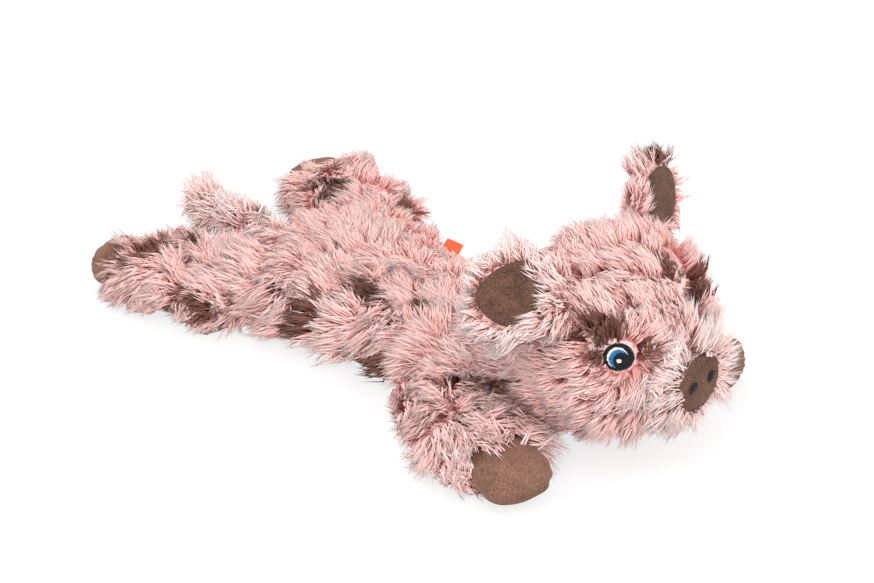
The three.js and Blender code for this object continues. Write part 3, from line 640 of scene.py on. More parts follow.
def lock_shape(number, sizes):
    """One lock: tapering strands that rise, bend over and gather towards their tips."""
    chance = np.random.default_rng(700 + number)
    length = sizes.pile_length / MM
    corners, faces, along, tone = [], [], [], []
    for strand in range(LOCK_STRANDS):
        start = chance.normal(size=2) * sizes.lock_width / MM * 0.4
        finish = chance.normal(size=2) * sizes.lock_width / MM * 0.26
        own = length * chance.uniform(0.7, 1.08)
        lift = chance.uniform(0.85, 1.15)
        wave = chance.uniform(0, 2 * math.pi)
        thick = sizes.strand_width / MM / 2 * chance.uniform(0.8, 1.2)
        shade = chance.uniform()
        base = strand * STRAND_CORNERS
        for t, spread in ((0.0, 0.8), (0.55, 1.0), (1.0, 0.0)):
            side = start * (1 - t) + finish * t
            middle = np.array((
                own * (0.1 * t + 0.6 * t * t) + side[0],
                side[1] + 0.07 * own * math.sin(wave + 5 * t),
                own * lift * (0.95 * t - 0.48 * t * t) - 1.2 * (1 - t),
            ))
            back = unit((-(0.95 - 0.96 * t), 0, 0.1 + 1.2 * t))
            for k in range(3 if spread else 1):
                ring = Y * (-1, 1, 0)[k] + back * (-0.15, -0.15, 0.3)[k]
                corners.append(middle + spread * thick * ring)
                along.append(t)
                tone.append(shade * 0.9 + 0.05 * (k if spread else 1))
        turns = [(base + k, base + (k + 1) % 3) for k in range(3)]
        faces.append((base + 2, base + 1, base))
        faces += [(a, b, b + 3, a + 3) for a, b in turns]
        faces += [(a + 3, b + 3, base + 6) for a, b in turns]
    mesh = new_mesh(f"lock_{number}", np.array(corners) * MM, faces)
    keep_attribute(mesh, "along", "FLOAT", along)
    keep_attribute(mesh, "tone", "FLOAT", tone)
    return bpy.data.objects.new(mesh.name, mesh)


def lock_collection(sizes):
    """The lock shapes that every stretch of pile is planted with."""
    held = bpy.data.collections.get("pile_locks")
    if held is None:
        held = bpy.data.collections.new("pile_locks")
        for number in range(LOCK_SHAPES):
            held.objects.link(lock_shape(number, sizes))
    return held


def spot_share(spots, body, roots):
    """How much each root belongs to a body's spots, from nothing to one, with ragged edges."""
    share = np.zeros(len(roots))
    ragged = gust(roots, wave=10, seed=31)[:, 0] * 0.28
    for middle, half in spots.get(body, []):
        near = np.linalg.norm((roots - np.array(middle)) / np.array(half), axis=1) + ragged
        share = np.maximum(share, smooth((1.2 - near) / 0.42))
    return share


def gathered(roots, own, seed):
    """For each root, the root of the tuft that its lock leans into."""
    chance = np.random.default_rng(seed)
    spots, back = np.unique(roots.round(3), axis=0, return_inverse=True)
    chosen = spots[chance.random(len(spots)) < own]
    if len(chosen) < 4:
        return roots
    tree = kdtree.KDTree(len(chosen))
    for i, p in enumerate(chosen):
        tree.insert(p, i)
    tree.balance()
    found = np.array([chosen[tree.find(p)[1]] for p in spots])
    return found[np.asarray(back).ravel()]


def planted(skin, body, sizes, seed, spacing=1.0, unrest=0.22, pull=TUFT_PULL, clear=()):
    """The pile of one skin, as one or more plain meshes."""
    holder = linked(body + "_pile", skin.data.copy())
    set_inputs(holder, "planted_pile", pile_tree, {
        "Spacing": sizes.lock_spacing * spacing, "Length": 1.0, "Unrest": unrest, "Seed": seed,
        "Locks": lock_collection(sizes), "Finish": bpy.data.materials["long_pile"],
    })
    mesh = settled(holder).data
    corners = places(mesh)
    roots = read_attribute(mesh, "root", 3) / MM
    along, tone, dice = (read_attribute(mesh, name) for name in ("along", "tone", "chance"))
    bend = (along ** 1.5)[:, None]
    tuft = gathered(roots, TUFT_SHARE, seed)
    wisp = gathered(roots, WISP_SHARE, seed + 1)
    corners = corners + ((tuft - roots) * pull + (wisp - roots) * WISP_PULL) * bend
    sway = gust(tuft, wave=13, seed=seed + 5) * TUFT_SWAY + gust(wisp, wave=9, seed=seed + 9) * WISP_SWAY
    corners = corners + sway * bend
    for opening in clear:
        corners = kept_clear(corners, *opening)
    floor = 0.25 + along * 0.9 + dice * 0.8
    corners[:, 2] = np.where(corners[:, 2] < floor, floor + (corners[:, 2] - floor) * 0.02, corners[:, 2])
    corners[:, 2] = np.maximum(corners[:, 2], 0.1)
    set_places(mesh, corners)
    brown = spot_share(BROWN, body, roots) > np.clip(dice * 0.8 + tone * 0.2, 0.02, 0.98)
    pale = spot_share(PALE, body, roots)
    mood = np.clip(0.5 + gust(tuft, wave=12, seed=seed + 3)[:, 0] * 0.4, 0, 1)
    mixed = np.clip(0.4 * tone + 0.3 * dice + 0.3 * mood, 0, 1)
    pink = PINK_SPAN * (mixed + (1 - mixed) * 0.8 * pale)
    write_map(mesh, np.where(brown, BROWN_START + BROWN_SPAN * mixed, pink), along)
    for name in ("root", "along", "tone", "chance"):
        mesh.attributes.remove(mesh.attributes[name])
    return parted(holder)


def kept_clear(corners, middle, outward, right, over, wide, high):
    """Pushes strands off an oval, so that they lie round it and not over it."""
    off = corners - middle
    u, v = off @ right / wide, off @ over / high
    reach = np.maximum(np.hypot(u, v), 1e-6)
    inside = (reach < 1) & (off @ outward > -6)
    more = np.where(inside, (0.96 + 0.06 * reach) / reach - 1, 0)
    return corners + (u * more * wide)[:, None] * right + (v * more * high)[:, None] * over


def add_maps(mesh, flat):
    """Writes the pile's own map, and the same as the map that is kept for baking."""
    for name in ("pile", "OFBake"):
        layer = mesh.uv_layers.get(name) or mesh.uv_layers.new(name=name)
        layer.uv.foreach_set("vector", flat.ravel())


def write_map(mesh, across, along):
    """Maps every strand: its colour goes across the map, and its length up it."""
    used = pulled(mesh.loops, "vertex_index", kind=np.int32)
    add_maps(mesh, np.stack([across[used], 0.02 + 0.96 * along[used]], axis=1).astype(np.float32))


def parted(made):
    """Parts a long list of strands into objects that each stay under a number of triangles."""
    strands = len(made.data.polygons) // STRAND_FACES
    pieces = -(-strands * STRAND_TRIANGLES // MOST_TRIANGLES)
    if pieces <= 1:
        return [made]
    cuts = [strands * i // pieces for i in range(pieces + 1)]
    out = []
    for low, high in zip(cuts, cuts[1:]):
        name = f"{made.name}_{len(out) + 1}"
        out.append(linked(name, kept_strands(made.data, name, low, high)))
    bpy.data.objects.remove(made)
    return out


def kept_strands(mesh, name, low, high):
    """A mesh of only some of the strands of another one."""
    corners = slice(low * STRAND_CORNERS, high * STRAND_CORNERS)
    faces = slice(low * STRAND_FACES, high * STRAND_FACES)
    loops = slice(low * STRAND_LOOPS, high * STRAND_LOOPS)
    part = bpy.data.meshes.new(name)
    part.vertices.add(corners.stop - corners.start)
    part.vertices.foreach_set("co", pulled(mesh.vertices, "co", 3, np.float32)[corners].ravel())
    part.loops.add(loops.stop - loops.start)
    used = pulled(mesh.loops, "vertex_index", kind=np.int32)[loops]
    part.loops.foreach_set("vertex_index", used - corners.start)
    part.polygons.add(faces.stop - faces.start)
    starts = pulled(mesh.polygons, "loop_start", kind=np.int32)[faces]
    part.polygons.foreach_set("loop_start", starts - loops.start)
    part.update(calc_edges=True)
    part.materials.append(bpy.data.materials["long_pile"])
    add_maps(part, pulled(mesh.uv_layers["pile"].uv, "vector", 2, np.float32)[loops])
    return smoothed(part)


def combed(skin, flow, reach=1.0, thick=1.0):
    """Stores on a skin the way its pile lies, its length and where it grows."""
    mesh = skin.data
    at, out = places(mesh), outwards(mesh)
    way = flow(at, out)
    way = way - out * np.sum(way * out, axis=1, keepdims=True)
    keep_attribute(mesh, "comb", "FLOAT_VECTOR", unit(way))
    for name, value in (("reach", reach), ("thick", thick)):
        keep_attribute(mesh, name, "FLOAT", value(at, out) if callable(value) else np.full(len(at), value))


def finished(made, body, slot, *nodes, finish=None):
    """Gives a piece its finish, the body it moves with and the nodes it stands for."""
    if finish:
        made.data.materials.clear()
        made.data.materials.append(bpy.data.materials[finish])
    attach(made, body)
    if nodes:
        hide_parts(*nodes)


def grown(skin, body, nodes, sizes, seed, **more):
    """Plants a combed skin's pile, and finishes both."""
    for part in planted(skin, body, sizes, seed, **more):
        finished(part, body, "pile")
    finished(skin, body, "pile", *nodes, finish="backing_cloth")


# Sizes and colours


def length(label, about, value):
    """A length that the panel shows."""
    return bpy.props.FloatProperty(
        name=label, description=about, default=value, min=0, unit="LENGTH", precision=4,
    )


def tint(label, about, value):
    """A colour that the panel shows, in sRGB parts from 0 to 255."""
    return bpy.props.FloatVectorProperty(
        name=label, description=about, default=value, min=0, max=255, size=3,
    )


class PIG_PG_sizes(bpy.types.PropertyGroup):
    """The sizes of the pile and of the padding."""

    pile_length: length("Pile length", "Length of a strand of the long pile", 0.0175)
    lock_spacing: length("Lock spacing", "Least distance between two locks", 0.00144)
    lock_width: length("Lock width", "Width of one lock at its roots", 0.0026)
    strand_width: length("Strand width", "Width of one strand at its middle", 0.00092)
    pile_depth: length("Pile depth", "How far the skin lies inside the pile's surface", 0.0075)
    thread_width: length("Thread width", "Width of one embroidery thread", 0.00048)


class PIG_PG_colours(bpy.types.PropertyGroup):
    """The colours of the pile, the short pile and the threads."""

    tip: tint("Tip", "Pink of the strands' tips", (251, 230, 227))
    middle: tint("Middle", "Deeper pink strands", (251, 219, 216))
    pale: tint("Pale", "Palest strands", (252, 242, 240))
    # The root and halfway colours are painted shade: they darken and warm the strands towards their roots,
    # deep in the pile.
    root: tint("Root", "How dark the roots are", (250, 168, 160))
    painted_shade_halfway: tint("Halfway", "How dark the strands are half way up", (255, 225, 221))
    brown_light: tint("Light brown", "Lightest brown strands", (170, 136, 127))
    brown: tint("Brown", "Brown strands", (134, 100, 91))
    brown_dark: tint("Dark brown", "Darkest brown strands", (104, 74, 66))
    skin: tint("Skin", "Backing cloth under the pile", (228, 178, 172))
    nap: tint("Nap", "Short pile of the trotters", (150, 112, 96))
    # Nap shade is painted shade between the tufts of the trotters' short pile.
    nap_shade: tint("Nap shade", "Short pile of the trotters, between its tufts", (84, 56, 46))
    # The ears' linings and the snout are the trotters' short pile, painted darker as shade; their second
    # colour is painted shade between the tufts.
    nap_in_painted_shade: tint("Dark nap", "Short pile of the ears and snout, brushed away from the light", (120, 88, 75))
    nap_gaps_in_painted_shade: tint("Dark nap shade", "Short pile of the ears and snout, between its tufts", (58, 38, 31))
    blue: tint("Blue", "Blue thread of the eyes", (30, 128, 190))
    label: tint("Label", "Bare ribbon in the side seam", (245, 110, 60))
    # Label shade is painted shade between the ribbon's ribs.
    label_shade: tint("Label shade", "The ribbon between its ribs", (222, 84, 38))


# Skins


def torso_form(inset):
    """The torso's pillow, wide at the hips and narrow at the waist."""
    span = TORSO_AHEAD - TORSO_BEHIND
    widths = [((x - TORSO_BEHIND) / span, wide) for x, wide in ((-74, 69), (16, 54), (74, 54))]
    return stuffed(
        [(TORSO_BEHIND, 0, TORSO_MID), (TORSO_AHEAD, 0, TORSO_MID)],
        widths, [(0, TORSO_HALF)], start=26, end=34, inset=inset, fullness=3, sides=72, rings=80,
    )


def head_form(inset):
    """The head's ball, flatter in front, with its short muzzle."""
    all_round = [(0, HEAD_RADIUS)]
    ball = stuffed(
        [on_head(-HEAD_RADIUS, 0, 0), on_head(FACE_REACH, 0, 0)],
        all_round, all_round, start=HEAD_RADIUS, end=FACE_REACH, inset=inset, fullness=2, face=HEAD_UP,
    )
    nose = stuffed(
        [on_head(0, 0, 0), on_head(27, 0, -PAD_DROP), on_head(PAD_SEAT_AHEAD + 5, 0, -PAD_DROP)],
        [(0, 36), (1, 27)], [(0, 34), (1, 26)], start=9, end=9, inset=inset * 0.6, fullness=2, face=HEAD_UP,
    )
    return joined(ball, nose)


def leg_line(kind, side):
    """A leg's heading, the middles of its seam and its cuff, the line through them and its widths."""
    turn, ahead, aside, reach, widths = LEGS[kind]
    way = heading(side * turn)
    pivot = np.array((ahead, side * aside, LEG_MID))
    root = pivot - way * LEG_KNUCKLE
    if kind == "fore":
        root = np.array((ARMPIT_AHEAD, side * (aside - LEG_KNUCKLE), LEG_MID))
    cuff = pivot + way * reach
    cuff[2] = TROTTER_MID
    return way, pivot, cuff, [root, pivot + way * LEG_KNUCKLE, cuff + way * 8.0], widths


def limbs(part):
    """A part of the four limbs: each one's name, whether it is a fore or a hind one, and its side."""
    kinds = ("fore", "hind")
    return [(f"{kind}{part}_{name}", kind, side) for kind in kinds for name, side in SIDES.items()]


def ear_frame(side):
    """An ear's seam, the way it points, the way its lining faces and the way that the seam runs."""
    outward = head_direction(115, 41) if side > 0 else head_direction(-98, 45)
    turn, fold = (-90, 0) if side > 0 else (127, -58)
    seam = turned(unit(np.cross(HEAD_UP, outward)), outward, turn)
    pointing = turned(outward, seam, fold)
    pivot = HEAD_MIDDLE + outward * EAR_AWAY
    if side > 0:
        seam = turned(seam, pointing, EAR_TURN)
        face = np.cross(seam, pointing)
        seam, pointing = turned(seam, face, EAR_SWAY), turned(pointing, face, EAR_SWAY)
        pivot = pivot - 1.5 * (X + Y)
    return pivot, pointing, np.cross(seam, pointing), seam


def eye_frame(side):
    """An eye's seat and its directions outwards, towards the snout and up."""
    outward = head_direction(side * EYE_AZIMUTH, EYE_RISE)
    ahead = max(outward[0], 0)
    reach = 1 / math.sqrt((ahead / FACE_REACH) ** 2 + (1 - ahead * ahead) / HEAD_RADIUS ** 2)
    seat = HEAD_MIDDLE + outward * (reach - EYE_SINK)
    forth = unit(np.cross(outward, HEAD_UP)) * side
    over = unit(np.cross(outward, forth)) * -side
    return seat, outward, forth, over


class PIG_OT_finishes(bpy.types.Operator):
    """Makes the finishes of the pile, the short pile, the threads, the ribbon and the filling."""

    bl_idname = "pig.finishes"
    bl_label = "Finishes"

    def execute(self, context):
        colours = context.scene.pig_colours
        nap = {"scale": 1300, "strength": 0.6, "sheen": 0.1, "patch": 70}
        pile_finish(colours)
        cloth_finish("backing_cloth", colours.skin, colours.middle, scale=700, sheen=0.2)
        cloth_finish("napped_plush", colours.nap_shade, colours.nap, **nap)
        # The same short pile for the ears' linings and the snout, painted darker as shade.
        cloth_finish("brushed_plush", colours.nap_gaps_in_painted_shade, colours.nap_in_painted_shade, **nap)
        cloth_finish("fibre_fill", (226, 222, 214), (250, 248, 244), scale=260, strength=0.8, sheen=0.3)
        plastic = {"scale": 90, "strength": 0.1, "roughness": 0.4, "sheen": 0}
        cloth_finish("blown_plastic", (200, 200, 200), (232, 232, 230), **plastic)
        # Each silk's second colour is painted shade in the twist of its threads.
        silk_finish("black_silk", (22, 22, 24), (6, 6, 8))
        silk_finish("white_silk", (244, 244, 242), (205, 205, 205))
        silk_finish("blue_silk", colours.blue, (12, 76, 130))
        ribbon_finish(colours)
        return {"FINISHED"}


class PIG_OT_torso(bpy.types.Operator):
    """Makes the torso's padded skin and its pile, combed to the rear and down the sides."""

    bl_idname = "pig.torso"
    bl_label = "Torso"

    def execute(self, context):
        sizes = context.scene.pig_sizes
        skin = new_object("torso_skin", *torso_form(sizes.pile_depth / MM))
        puckered(skin, depth=1.6, wave=24, seed=3)

        def flow(at, out):
            side = (np.sign(at[:, 1]) * smooth(np.abs(at[:, 1]) / 55))[:, None]
            return -X + side * 0.8 * Y - np.abs(side) * 0.5 * UP + gust(at, wave=24, seed=6) * 1.1

        def reach(at, out):
            left, right = past(at[:, 1], 18, 18), past(-at[:, 1], 25, 20)
            return under(0.55)(at, out) - 0.42 * left + 0.35 * right

        combed(skin, flow, reach, under(0.45))
        grown(skin, "torso", ["back_panel", "belly_panel"], sizes, 11)
        return {"FINISHED"}


def under(share):
    """One all over, but a share of it on the underside, which lies on the floor."""
    return lambda at, out: np.where(out[:, 2] < -0.6, share, 1.0)


class PIG_OT_head(bpy.types.Operator):
    """Makes the head's stuffed skin and its pile, which parts round the snout and the eyes."""

    bl_idname = "pig.head"
    bl_label = "Head"

    def execute(self, context):
        sizes = context.scene.pig_sizes
        skin = new_object("head_cloth", *head_form(sizes.pile_depth / MM))
        melted(skin, voxel=2.4, passes=8)
        at = places(skin.data)
        lift = 1.2 * np.exp(-(((at[:, 0] - 192) / 7) ** 2)) - 0.6 * self.brow(at)
        set_places(skin.data, at + outwards(skin.data) * lift[:, None])
        eyes = [eye_frame(side) for side in SIDES.values()]
        raised_round_eyes(skin, eyes)
        pad = on_head(PAD_SEAT_AHEAD, 0, -PAD_DROP)
        level = np.array((0, 1, 1))

        def flow(at, out):
            off = at - HEAD_MIDDLE
            ahead = past(off[:, 0], 26, 16)
            aside = unit(off * level + (HEAD_MIDDLE - pad) * level)
            back = -X + aside * 0.55 - UP * 0.35
            way = back * (1 - ahead)[:, None] + (X * 0.3 + aside) * ahead[:, None]
            for (seat, *_), parting in zip(eyes, (0.8, 0.15)):
                near = parting * smooth(1.1 - away(at, seat) / 26)[:, None]
                way = way * (1 - near) + unit(at - seat) * near
            return way + gust(at, wave=26, seed=4) * 0.35

        def reach(at, out):
            off = at - HEAD_MIDDLE
            size = 1.0 + 0.42 * past(off[:, 0], 34, 12) * past(off[:, 2], -20, 20)
            low = past(-at[:, 2], -36, 18)
            behind = past(-off[:, 0], 10, 20) * past(off[:, 2], 10, 20)
            size = size * (1 - 0.8 * low) * (1 - 0.65 * self.brow(at)) + 0.4 * behind
            size = size * (1 - 0.4 * past(off[:, 1], 25, 15) * past(off[:, 0], 0, 14))
            size = np.maximum(size, 0.52 * (1 - low))
            for (seat, *_), least in zip(eyes, (0.62, 0.9)):
                size = np.minimum(size, least + 0.4 * past(away(at, seat), 8, 10))
            return size

        def thick(at, out):
            full = np.ones(len(at))
            off = at - pad
            bare = np.hypot(off @ HEAD_LEFT / (PAD_WIDE - 1), (off @ HEAD_UP - 1) / (PAD_HIGH - 1)) < 1
            full[(off[:, 0] > 2) & bare] = 0
            for seat, _, forth, over in eyes:
                off = at - seat
                full[np.hypot(off @ forth / EYE_WIDE, off @ over / EYE_HIGH) < 1] = 0
            return full

        combed(skin, flow, reach, thick)
        openings = [(*eye, EYE_WIDE - 0.4, EYE_HIGH - 0.4) for eye in eyes]
        openings.append((pad + HEAD_UP * 1.5, X, HEAD_LEFT, HEAD_UP, PAD_WIDE - 4.5, PAD_HIGH - 1.5))
        grown(skin, "head", ["head_skin"], sizes, 21, spacing=0.92, clear=openings)
        return {"FINISHED"}

    def brow(self, at):
        """How much a place belongs to the flatter left side of the forehead."""
        off = at - HEAD_MIDDLE
        flat = past(off[:, 1], 2, 14) * past(off[:, 0], -2, 14) * past(off[:, 2], 4, 14)
        return flat * past(away(at, eye_frame(1)[0]), 11, 10)


def raised_round_eyes(skin, eyes):
    """Brings the skin up to the embroidery's seat round each eye."""
    mesh = skin.data
    at = places(mesh)
    for seat, outward, forth, over in eyes:
        off = at - seat
        flat = np.hypot(off @ forth, off @ over)
        near = smooth((11.5 - flat) / 3.5) * (off @ outward > -14)
        at = at - outward * ((off @ outward) * near)[:, None]
    set_places(mesh, at)


class PIG_OT_neck(bpy.types.Operator):
    """Makes the short limp neck between the torso and the head."""

    bl_idname = "pig.neck"
    bl_label = "Neck"

    def execute(self, context):
        skin = new_object("neck_skin", *stuffed(
            [(70, 5, 27), (95, 6, 36), (126, 6, 46)], [(0, 34), (1, 36)], [(0, 15), (1, 26)],
            start=12, end=12, fullness=2.2,
        ))
        combed(skin, lambda at, out: -X - 0.3 * UP + 0.5 * Y * np.sign(at[:, 1:2] - 6), reach=1.2)
        grown(skin, "neck", ["neck_collar"], context.scene.pig_sizes, 31)
        return {"FINISHED"}


class PIG_OT_legs(bpy.types.Operator):
    """Makes the four limp legs, sewn to the torso, with pile combed towards the trotters."""

    bl_idname = "pig.legs"
    bl_label = "Legs"

    def execute(self, context):
        for limb in limbs("leg"):
            self.leg(*limb, context.scene.pig_sizes)
        return {"FINISHED"}

    def leg(self, body, kind, side, sizes):
        """One leg: its skin and its pile."""
        way, pivot, cuff, line, widths = leg_line(kind, side)
        full, trim, blunt, rise = LEG_PILE[body]
        skin = new_object(body + "_skin", *stuffed(
            line, widths, [(0.1, LEG_KNUCKLE), (0.5, LEG_HALF), (1, LEG_END_HALF)],
            start=12, end=12, inset=sizes.pile_depth / MM,
        ))
        puckered(skin, depth=1.4, wave=20, seed=40 + side)
        at = places(skin.data)
        at[:, 2] += rise * np.exp(-(((at - cuff) @ way + 24) / 17) ** 2) * (at[:, 2] > LEG_MID)
        set_places(skin.data, at)
        across = np.cross(UP, way)

        def flow(at, out):
            off = (at - pivot) @ across / 22
            return way + across * off[:, None] * 0.6 - UP * 0.25 + gust(at, wave=22, seed=8) * 0.9

        def reach(at, out):
            ahead = (at - cuff) @ way
            return full + trim * past(ahead, -36, 24) - blunt * past(ahead, -9, 12)

        combed(skin, flow, reach, under(0.5))
        grown(skin, body, [body], sizes, 50 + 10 * (kind == "hind") + side)


class PIG_OT_trotters(bpy.types.Operator):
    """Makes the four padded trotters of short pile, with the seam round each one's edge."""

    bl_idname = "pig.trotters"
    bl_label = "Trotters"

    def execute(self, context):
        for limb in limbs("_trotter"):
            self.trotter(*limb)
        return {"FINISHED"}

    def trotter(self, body, kind, side):
        """One trotter: a mitt that swells from its seam."""
        way, _, cuff, _, _ = leg_line(kind, side)
        if body == "fore_trotter_right":
            way = turned(way, UP, 7)
            cuff = cuff + np.array((1.5, 2.5, 3.0))
        elif body == "hind_trotter_right":
            cuff = cuff + UP * 2.5
        mitt = new_object(body + "_mitt", *stuffed(
            [cuff - way * 16, cuff + way * (TROTTER_LONG + MITT_MORE[body])],
            [(0, 18), (0.5, TROTTER_WIDE - 3)], [(0, 9), (0.5, TROTTER_HALF)],
            start=10, end=13, inset=0.5, fullness=2.6, sides=72, rings=72,
        ))
        at = places(mitt.data)
        off = at - cuff
        rise = off[:, 2]
        pinch = past(off @ way, -14, 10)
        edge = np.exp(-(rise / 1.3) ** 2)
        groove = np.exp(-((np.abs(rise) - 2.6) / 1.6) ** 2)
        outward = unit(off * (X + Y))
        wave = gust(at, wave=9, seed=80 + side)[:, :1]
        at = at + outward * (edge * 0.35 - groove * 0.45)[:, None] + outward * wave * 0.35
        at[:, 2] = np.maximum(cuff[2] + rise * (0.86 + 0.14 * pinch), 0.3)
        set_places(mitt.data, at)
        finished(mitt, body, "short_pile", body, finish="napped_plush")


class PIG_OT_tail(bpy.types.Operator):
    """Makes the stuffed tail with its pile combed to the tip."""

    bl_idname = "pig.tail"
    bl_label = "Tail"

    def execute(self, context):
        sizes = context.scene.pig_sizes
        skin = new_object("tail_skin", *stuffed(
            [(-90, 0, 15), (-147, 0, 17), (-192, -8, 19)], [(0.3, 12), (0.7, 15.5)], [(0, 15.5)],
            start=12, end=15.5, inset=sizes.pile_depth / MM, fullness=2,
        ))
        flow = lambda at, out: -X + 0.25 * out + gust(at, wave=20, seed=9) * 0.7
        combed(skin, flow, reach=lambda at, out: 0.68 + 0.45 * out[:, 2])
        grown(skin, "tail", ["tail"], sizes, 91, unrest=0.55)
        return {"FINISHED"}


class PIG_OT_ears(bpy.types.Operator):
    """Makes the two ears: a leaf of pile with a fringe, and a short-pile lining on its face."""

    bl_idname = "pig.ears"
    bl_label = "Ears"

    def execute(self, context):
        for name, side in SIDES.items():
            self.ear(name, side, context.scene.pig_sizes)
        return {"FINISHED"}

    def ear(self, name, side, sizes):
        """One ear."""
        pivot, pointing, face, seam = ear_frame(side)
        leaf = new_object(f"ear_{name}_skin", *stuffed(
            [pivot - pointing * 9, pivot + pointing * 38], [(0, 15), (0.5, 22)], [(0, EAR_HALF)],
            start=6, end=20, inset=1.0, face=face,
        ))
        self.cup(leaf, pivot, face, seam)

        def flow(at, out):
            off = at - pivot
            wide = off @ seam / 20
            far = past(off @ pointing, 18, 30)
            return pointing * (0.6 + 0.5 * far[:, None]) + seam * wide[:, None] * 1.3

        def thick(at, out):
            off = at - pivot
            lined = np.hypot(off @ seam / 17.2, (off @ pointing - 18) / 18) < 1
            return np.where(lined & (off @ face > -0.6), 0.0, 1.0)

        combed(leaf, flow, reach=0.95 if side < 0 else 0.75, thick=thick)
        grown(leaf, f"ear_{name}", [f"ear_{name}"], sizes, 101 + side, spacing=0.85, unrest=0.4, pull=0.3)
        lining = new_object(f"ear_{name}_lining", *stuffed(
            [pivot + pointing * 1 + face * EAR_HALF, pivot + pointing * 37 + face * EAR_HALF],
            [(0, 13), (0.35, 18), (1, 12)], [(0, 2.2)], start=5, end=13, face=face, sides=56,
        ))
        self.cup(lining, pivot, face, seam)
        finished(lining, f"ear_{name}", "short_pile", f"ear_lining_{name}", finish="brushed_plush")

    def cup(self, made, pivot, face, seam):
        """Bends an ear a little, as a sewn leaf cups towards its lining."""
        at = places(made.data)
        wide = (at - pivot) @ seam
        set_places(made.data, at + face * (0.0075 * wide ** 2)[:, None] - face * 1.2)


class PIG_OT_snout(bpy.types.Operator):
    """Makes the padded snout and its two embroidered nostrils."""

    bl_idname = "pig.snout"
    bl_label = "Snout"

    def execute(self, context):
        seat = on_head(PAD_SEAT_AHEAD - 1.5, 0, -PAD_DROP)
        pad = new_object("snout_cushion", *stuffed(
            [seat + X * 0.3, seat + X * (PAD_THICK + 0.3)], [(0, PAD_WIDE)], [(0, PAD_HIGH)],
            start=3, end=7, fullness=2.1, face=HEAD_UP, sides=96, rings=56,
        ))
        at = places(pad.data)
        off = at - seat
        for side in SIDES.values():
            spot = off - self.nostril_place(side)
            near = np.hypot(spot @ HEAD_LEFT / 5, spot @ HEAD_UP / 6)
            at = at - X * (np.exp(-near ** 2) * (off[:, 0] > PAD_THICK * 0.4) * 0.9)[:, None]
        set_places(pad.data, at)
        finished(pad, "head", "short_pile", "snout_pad", finish="brushed_plush")
        for name, side in SIDES.items():
            self.nostril(name, side, seat, context.scene.pig_sizes)
        return {"FINISHED"}

    def nostril_place(self, side):
        """A nostril's place on the pad, from the middle of its seat."""
        return HEAD_LEFT * side * NOSTRIL_ASIDE + HEAD_UP * NOSTRIL_UP

    def nostril(self, name, side, seat, sizes):
        """One nostril: satin stitches across a small leaning oval."""
        middle = seat + X * (PAD_THICK - 0.35) + self.nostril_place(side)
        lean = math.radians(44 - 14 * side)
        long = HEAD_UP * math.cos(lean) + HEAD_LEFT * math.sin(lean)
        wide = HEAD_LEFT * math.cos(lean) - HEAD_UP * math.sin(lean)
        made = stitched(
            f"nostril_{name}_stitches", (middle, X, wide, long), oval(2.2, 3.3), 5, sizes,
            seed=300 + side, bulge=0.3,
        )
        finished(made, "head", "thread_black", f"nostril_{name}", finish="black_silk")


def oval(wide, high, aside=0.0, rise=0.0):
    """A test of whether a place lies in an oval."""
    return lambda u, v: np.hypot((u - aside) / wide, (v - rise) / high) < 1


def thread_object():
    """The thread that every stitch is a scaled copy of: a low six-sided bar with drawn-in ends."""
    held = bpy.data.objects.get("thread")
    if held:
        return held
    corners, faces, sides = [], [], 6
    for x, size in ((-0.5, 0.35), (-0.42, 0.85), (0.0, 1.0), (0.42, 0.85), (0.5, 0.35)):
        for k in range(sides):
            a = 2 * math.pi * k / sides
            rise = 0.6 * size * math.sin(a) + 0.16 * (1 - (2 * x) ** 2)
            corners.append((x, 0.6 * size * math.cos(a), rise))
    count = len(corners)
    for i in range(0, count - sides, sides):
        for k in range(sides):
            n = (k + 1) % sides
            faces.append((i + k, i + n, i + sides + n, i + sides + k))
    faces.append(tuple(range(sides)))
    faces.append(tuple(range(count - 1, count - 1 - sides, -1)))
    return bpy.data.objects.new("thread", new_mesh("thread", corners, faces))


def stitched(name, basis, inside, half, sizes, seed, slant=0.0, lift=0.3, bulge=0.5):
    """Satin stitches that fill a shape: rows of threads, each as long as the shape is there."""
    middle, outward, right, over = basis
    chance = np.random.default_rng(seed)
    a = math.radians(slant)
    run = right * math.cos(a) + over * math.sin(a)
    rise = over * math.cos(a) - right * math.sin(a)
    spots, lengths = [], []
    reach = half * 1.4
    fine = np.linspace(-reach, reach, 240)
    shortest = 2 * (fine[1] - fine[0])
    for v in np.arange(-reach, reach, sizes.thread_width / MM):
        mask = inside(fine * math.cos(a) - v * math.sin(a), fine * math.sin(a) + v * math.cos(a))
        edges = np.flatnonzero(np.diff(np.concatenate([[0], mask.astype(int), [0]])))
        for low, high in zip(edges[::2], edges[1::2]):
            start = fine[low] - chance.uniform(-0.1, 0.4)
            stop = fine[min(high, len(fine) - 1)] + chance.uniform(-0.1, 0.4)
            if stop - start < shortest:
                continue
            u = (start + stop) / 2
            dome = bulge * (1 - (u * u + v * v) / (half * half * 1.6))
            row = v + chance.uniform(-0.06, 0.06)
            spots.append(middle + run * u + rise * row + outward * (lift + dome))
            lengths.append(stop - start)
    holder = bpy.data.meshes.new(name)
    holder.from_pydata((np.array(spots) * MM).tolist(), [], [])
    turn = Matrix((run, rise, outward)).transposed().to_euler()
    keep_attribute(holder, "turn", "FLOAT_VECTOR", [list(turn)] * len(spots))
    keep_attribute(holder, "stretch", "FLOAT", np.array(lengths) * MM)
    made = linked(name, holder)
    set_inputs(made, "laid_stitches", stitch_tree, {
        "Width": sizes.thread_width, "Thread": thread_object(), "Finish": bpy.data.materials["black_silk"],
    })
    return settled(made)


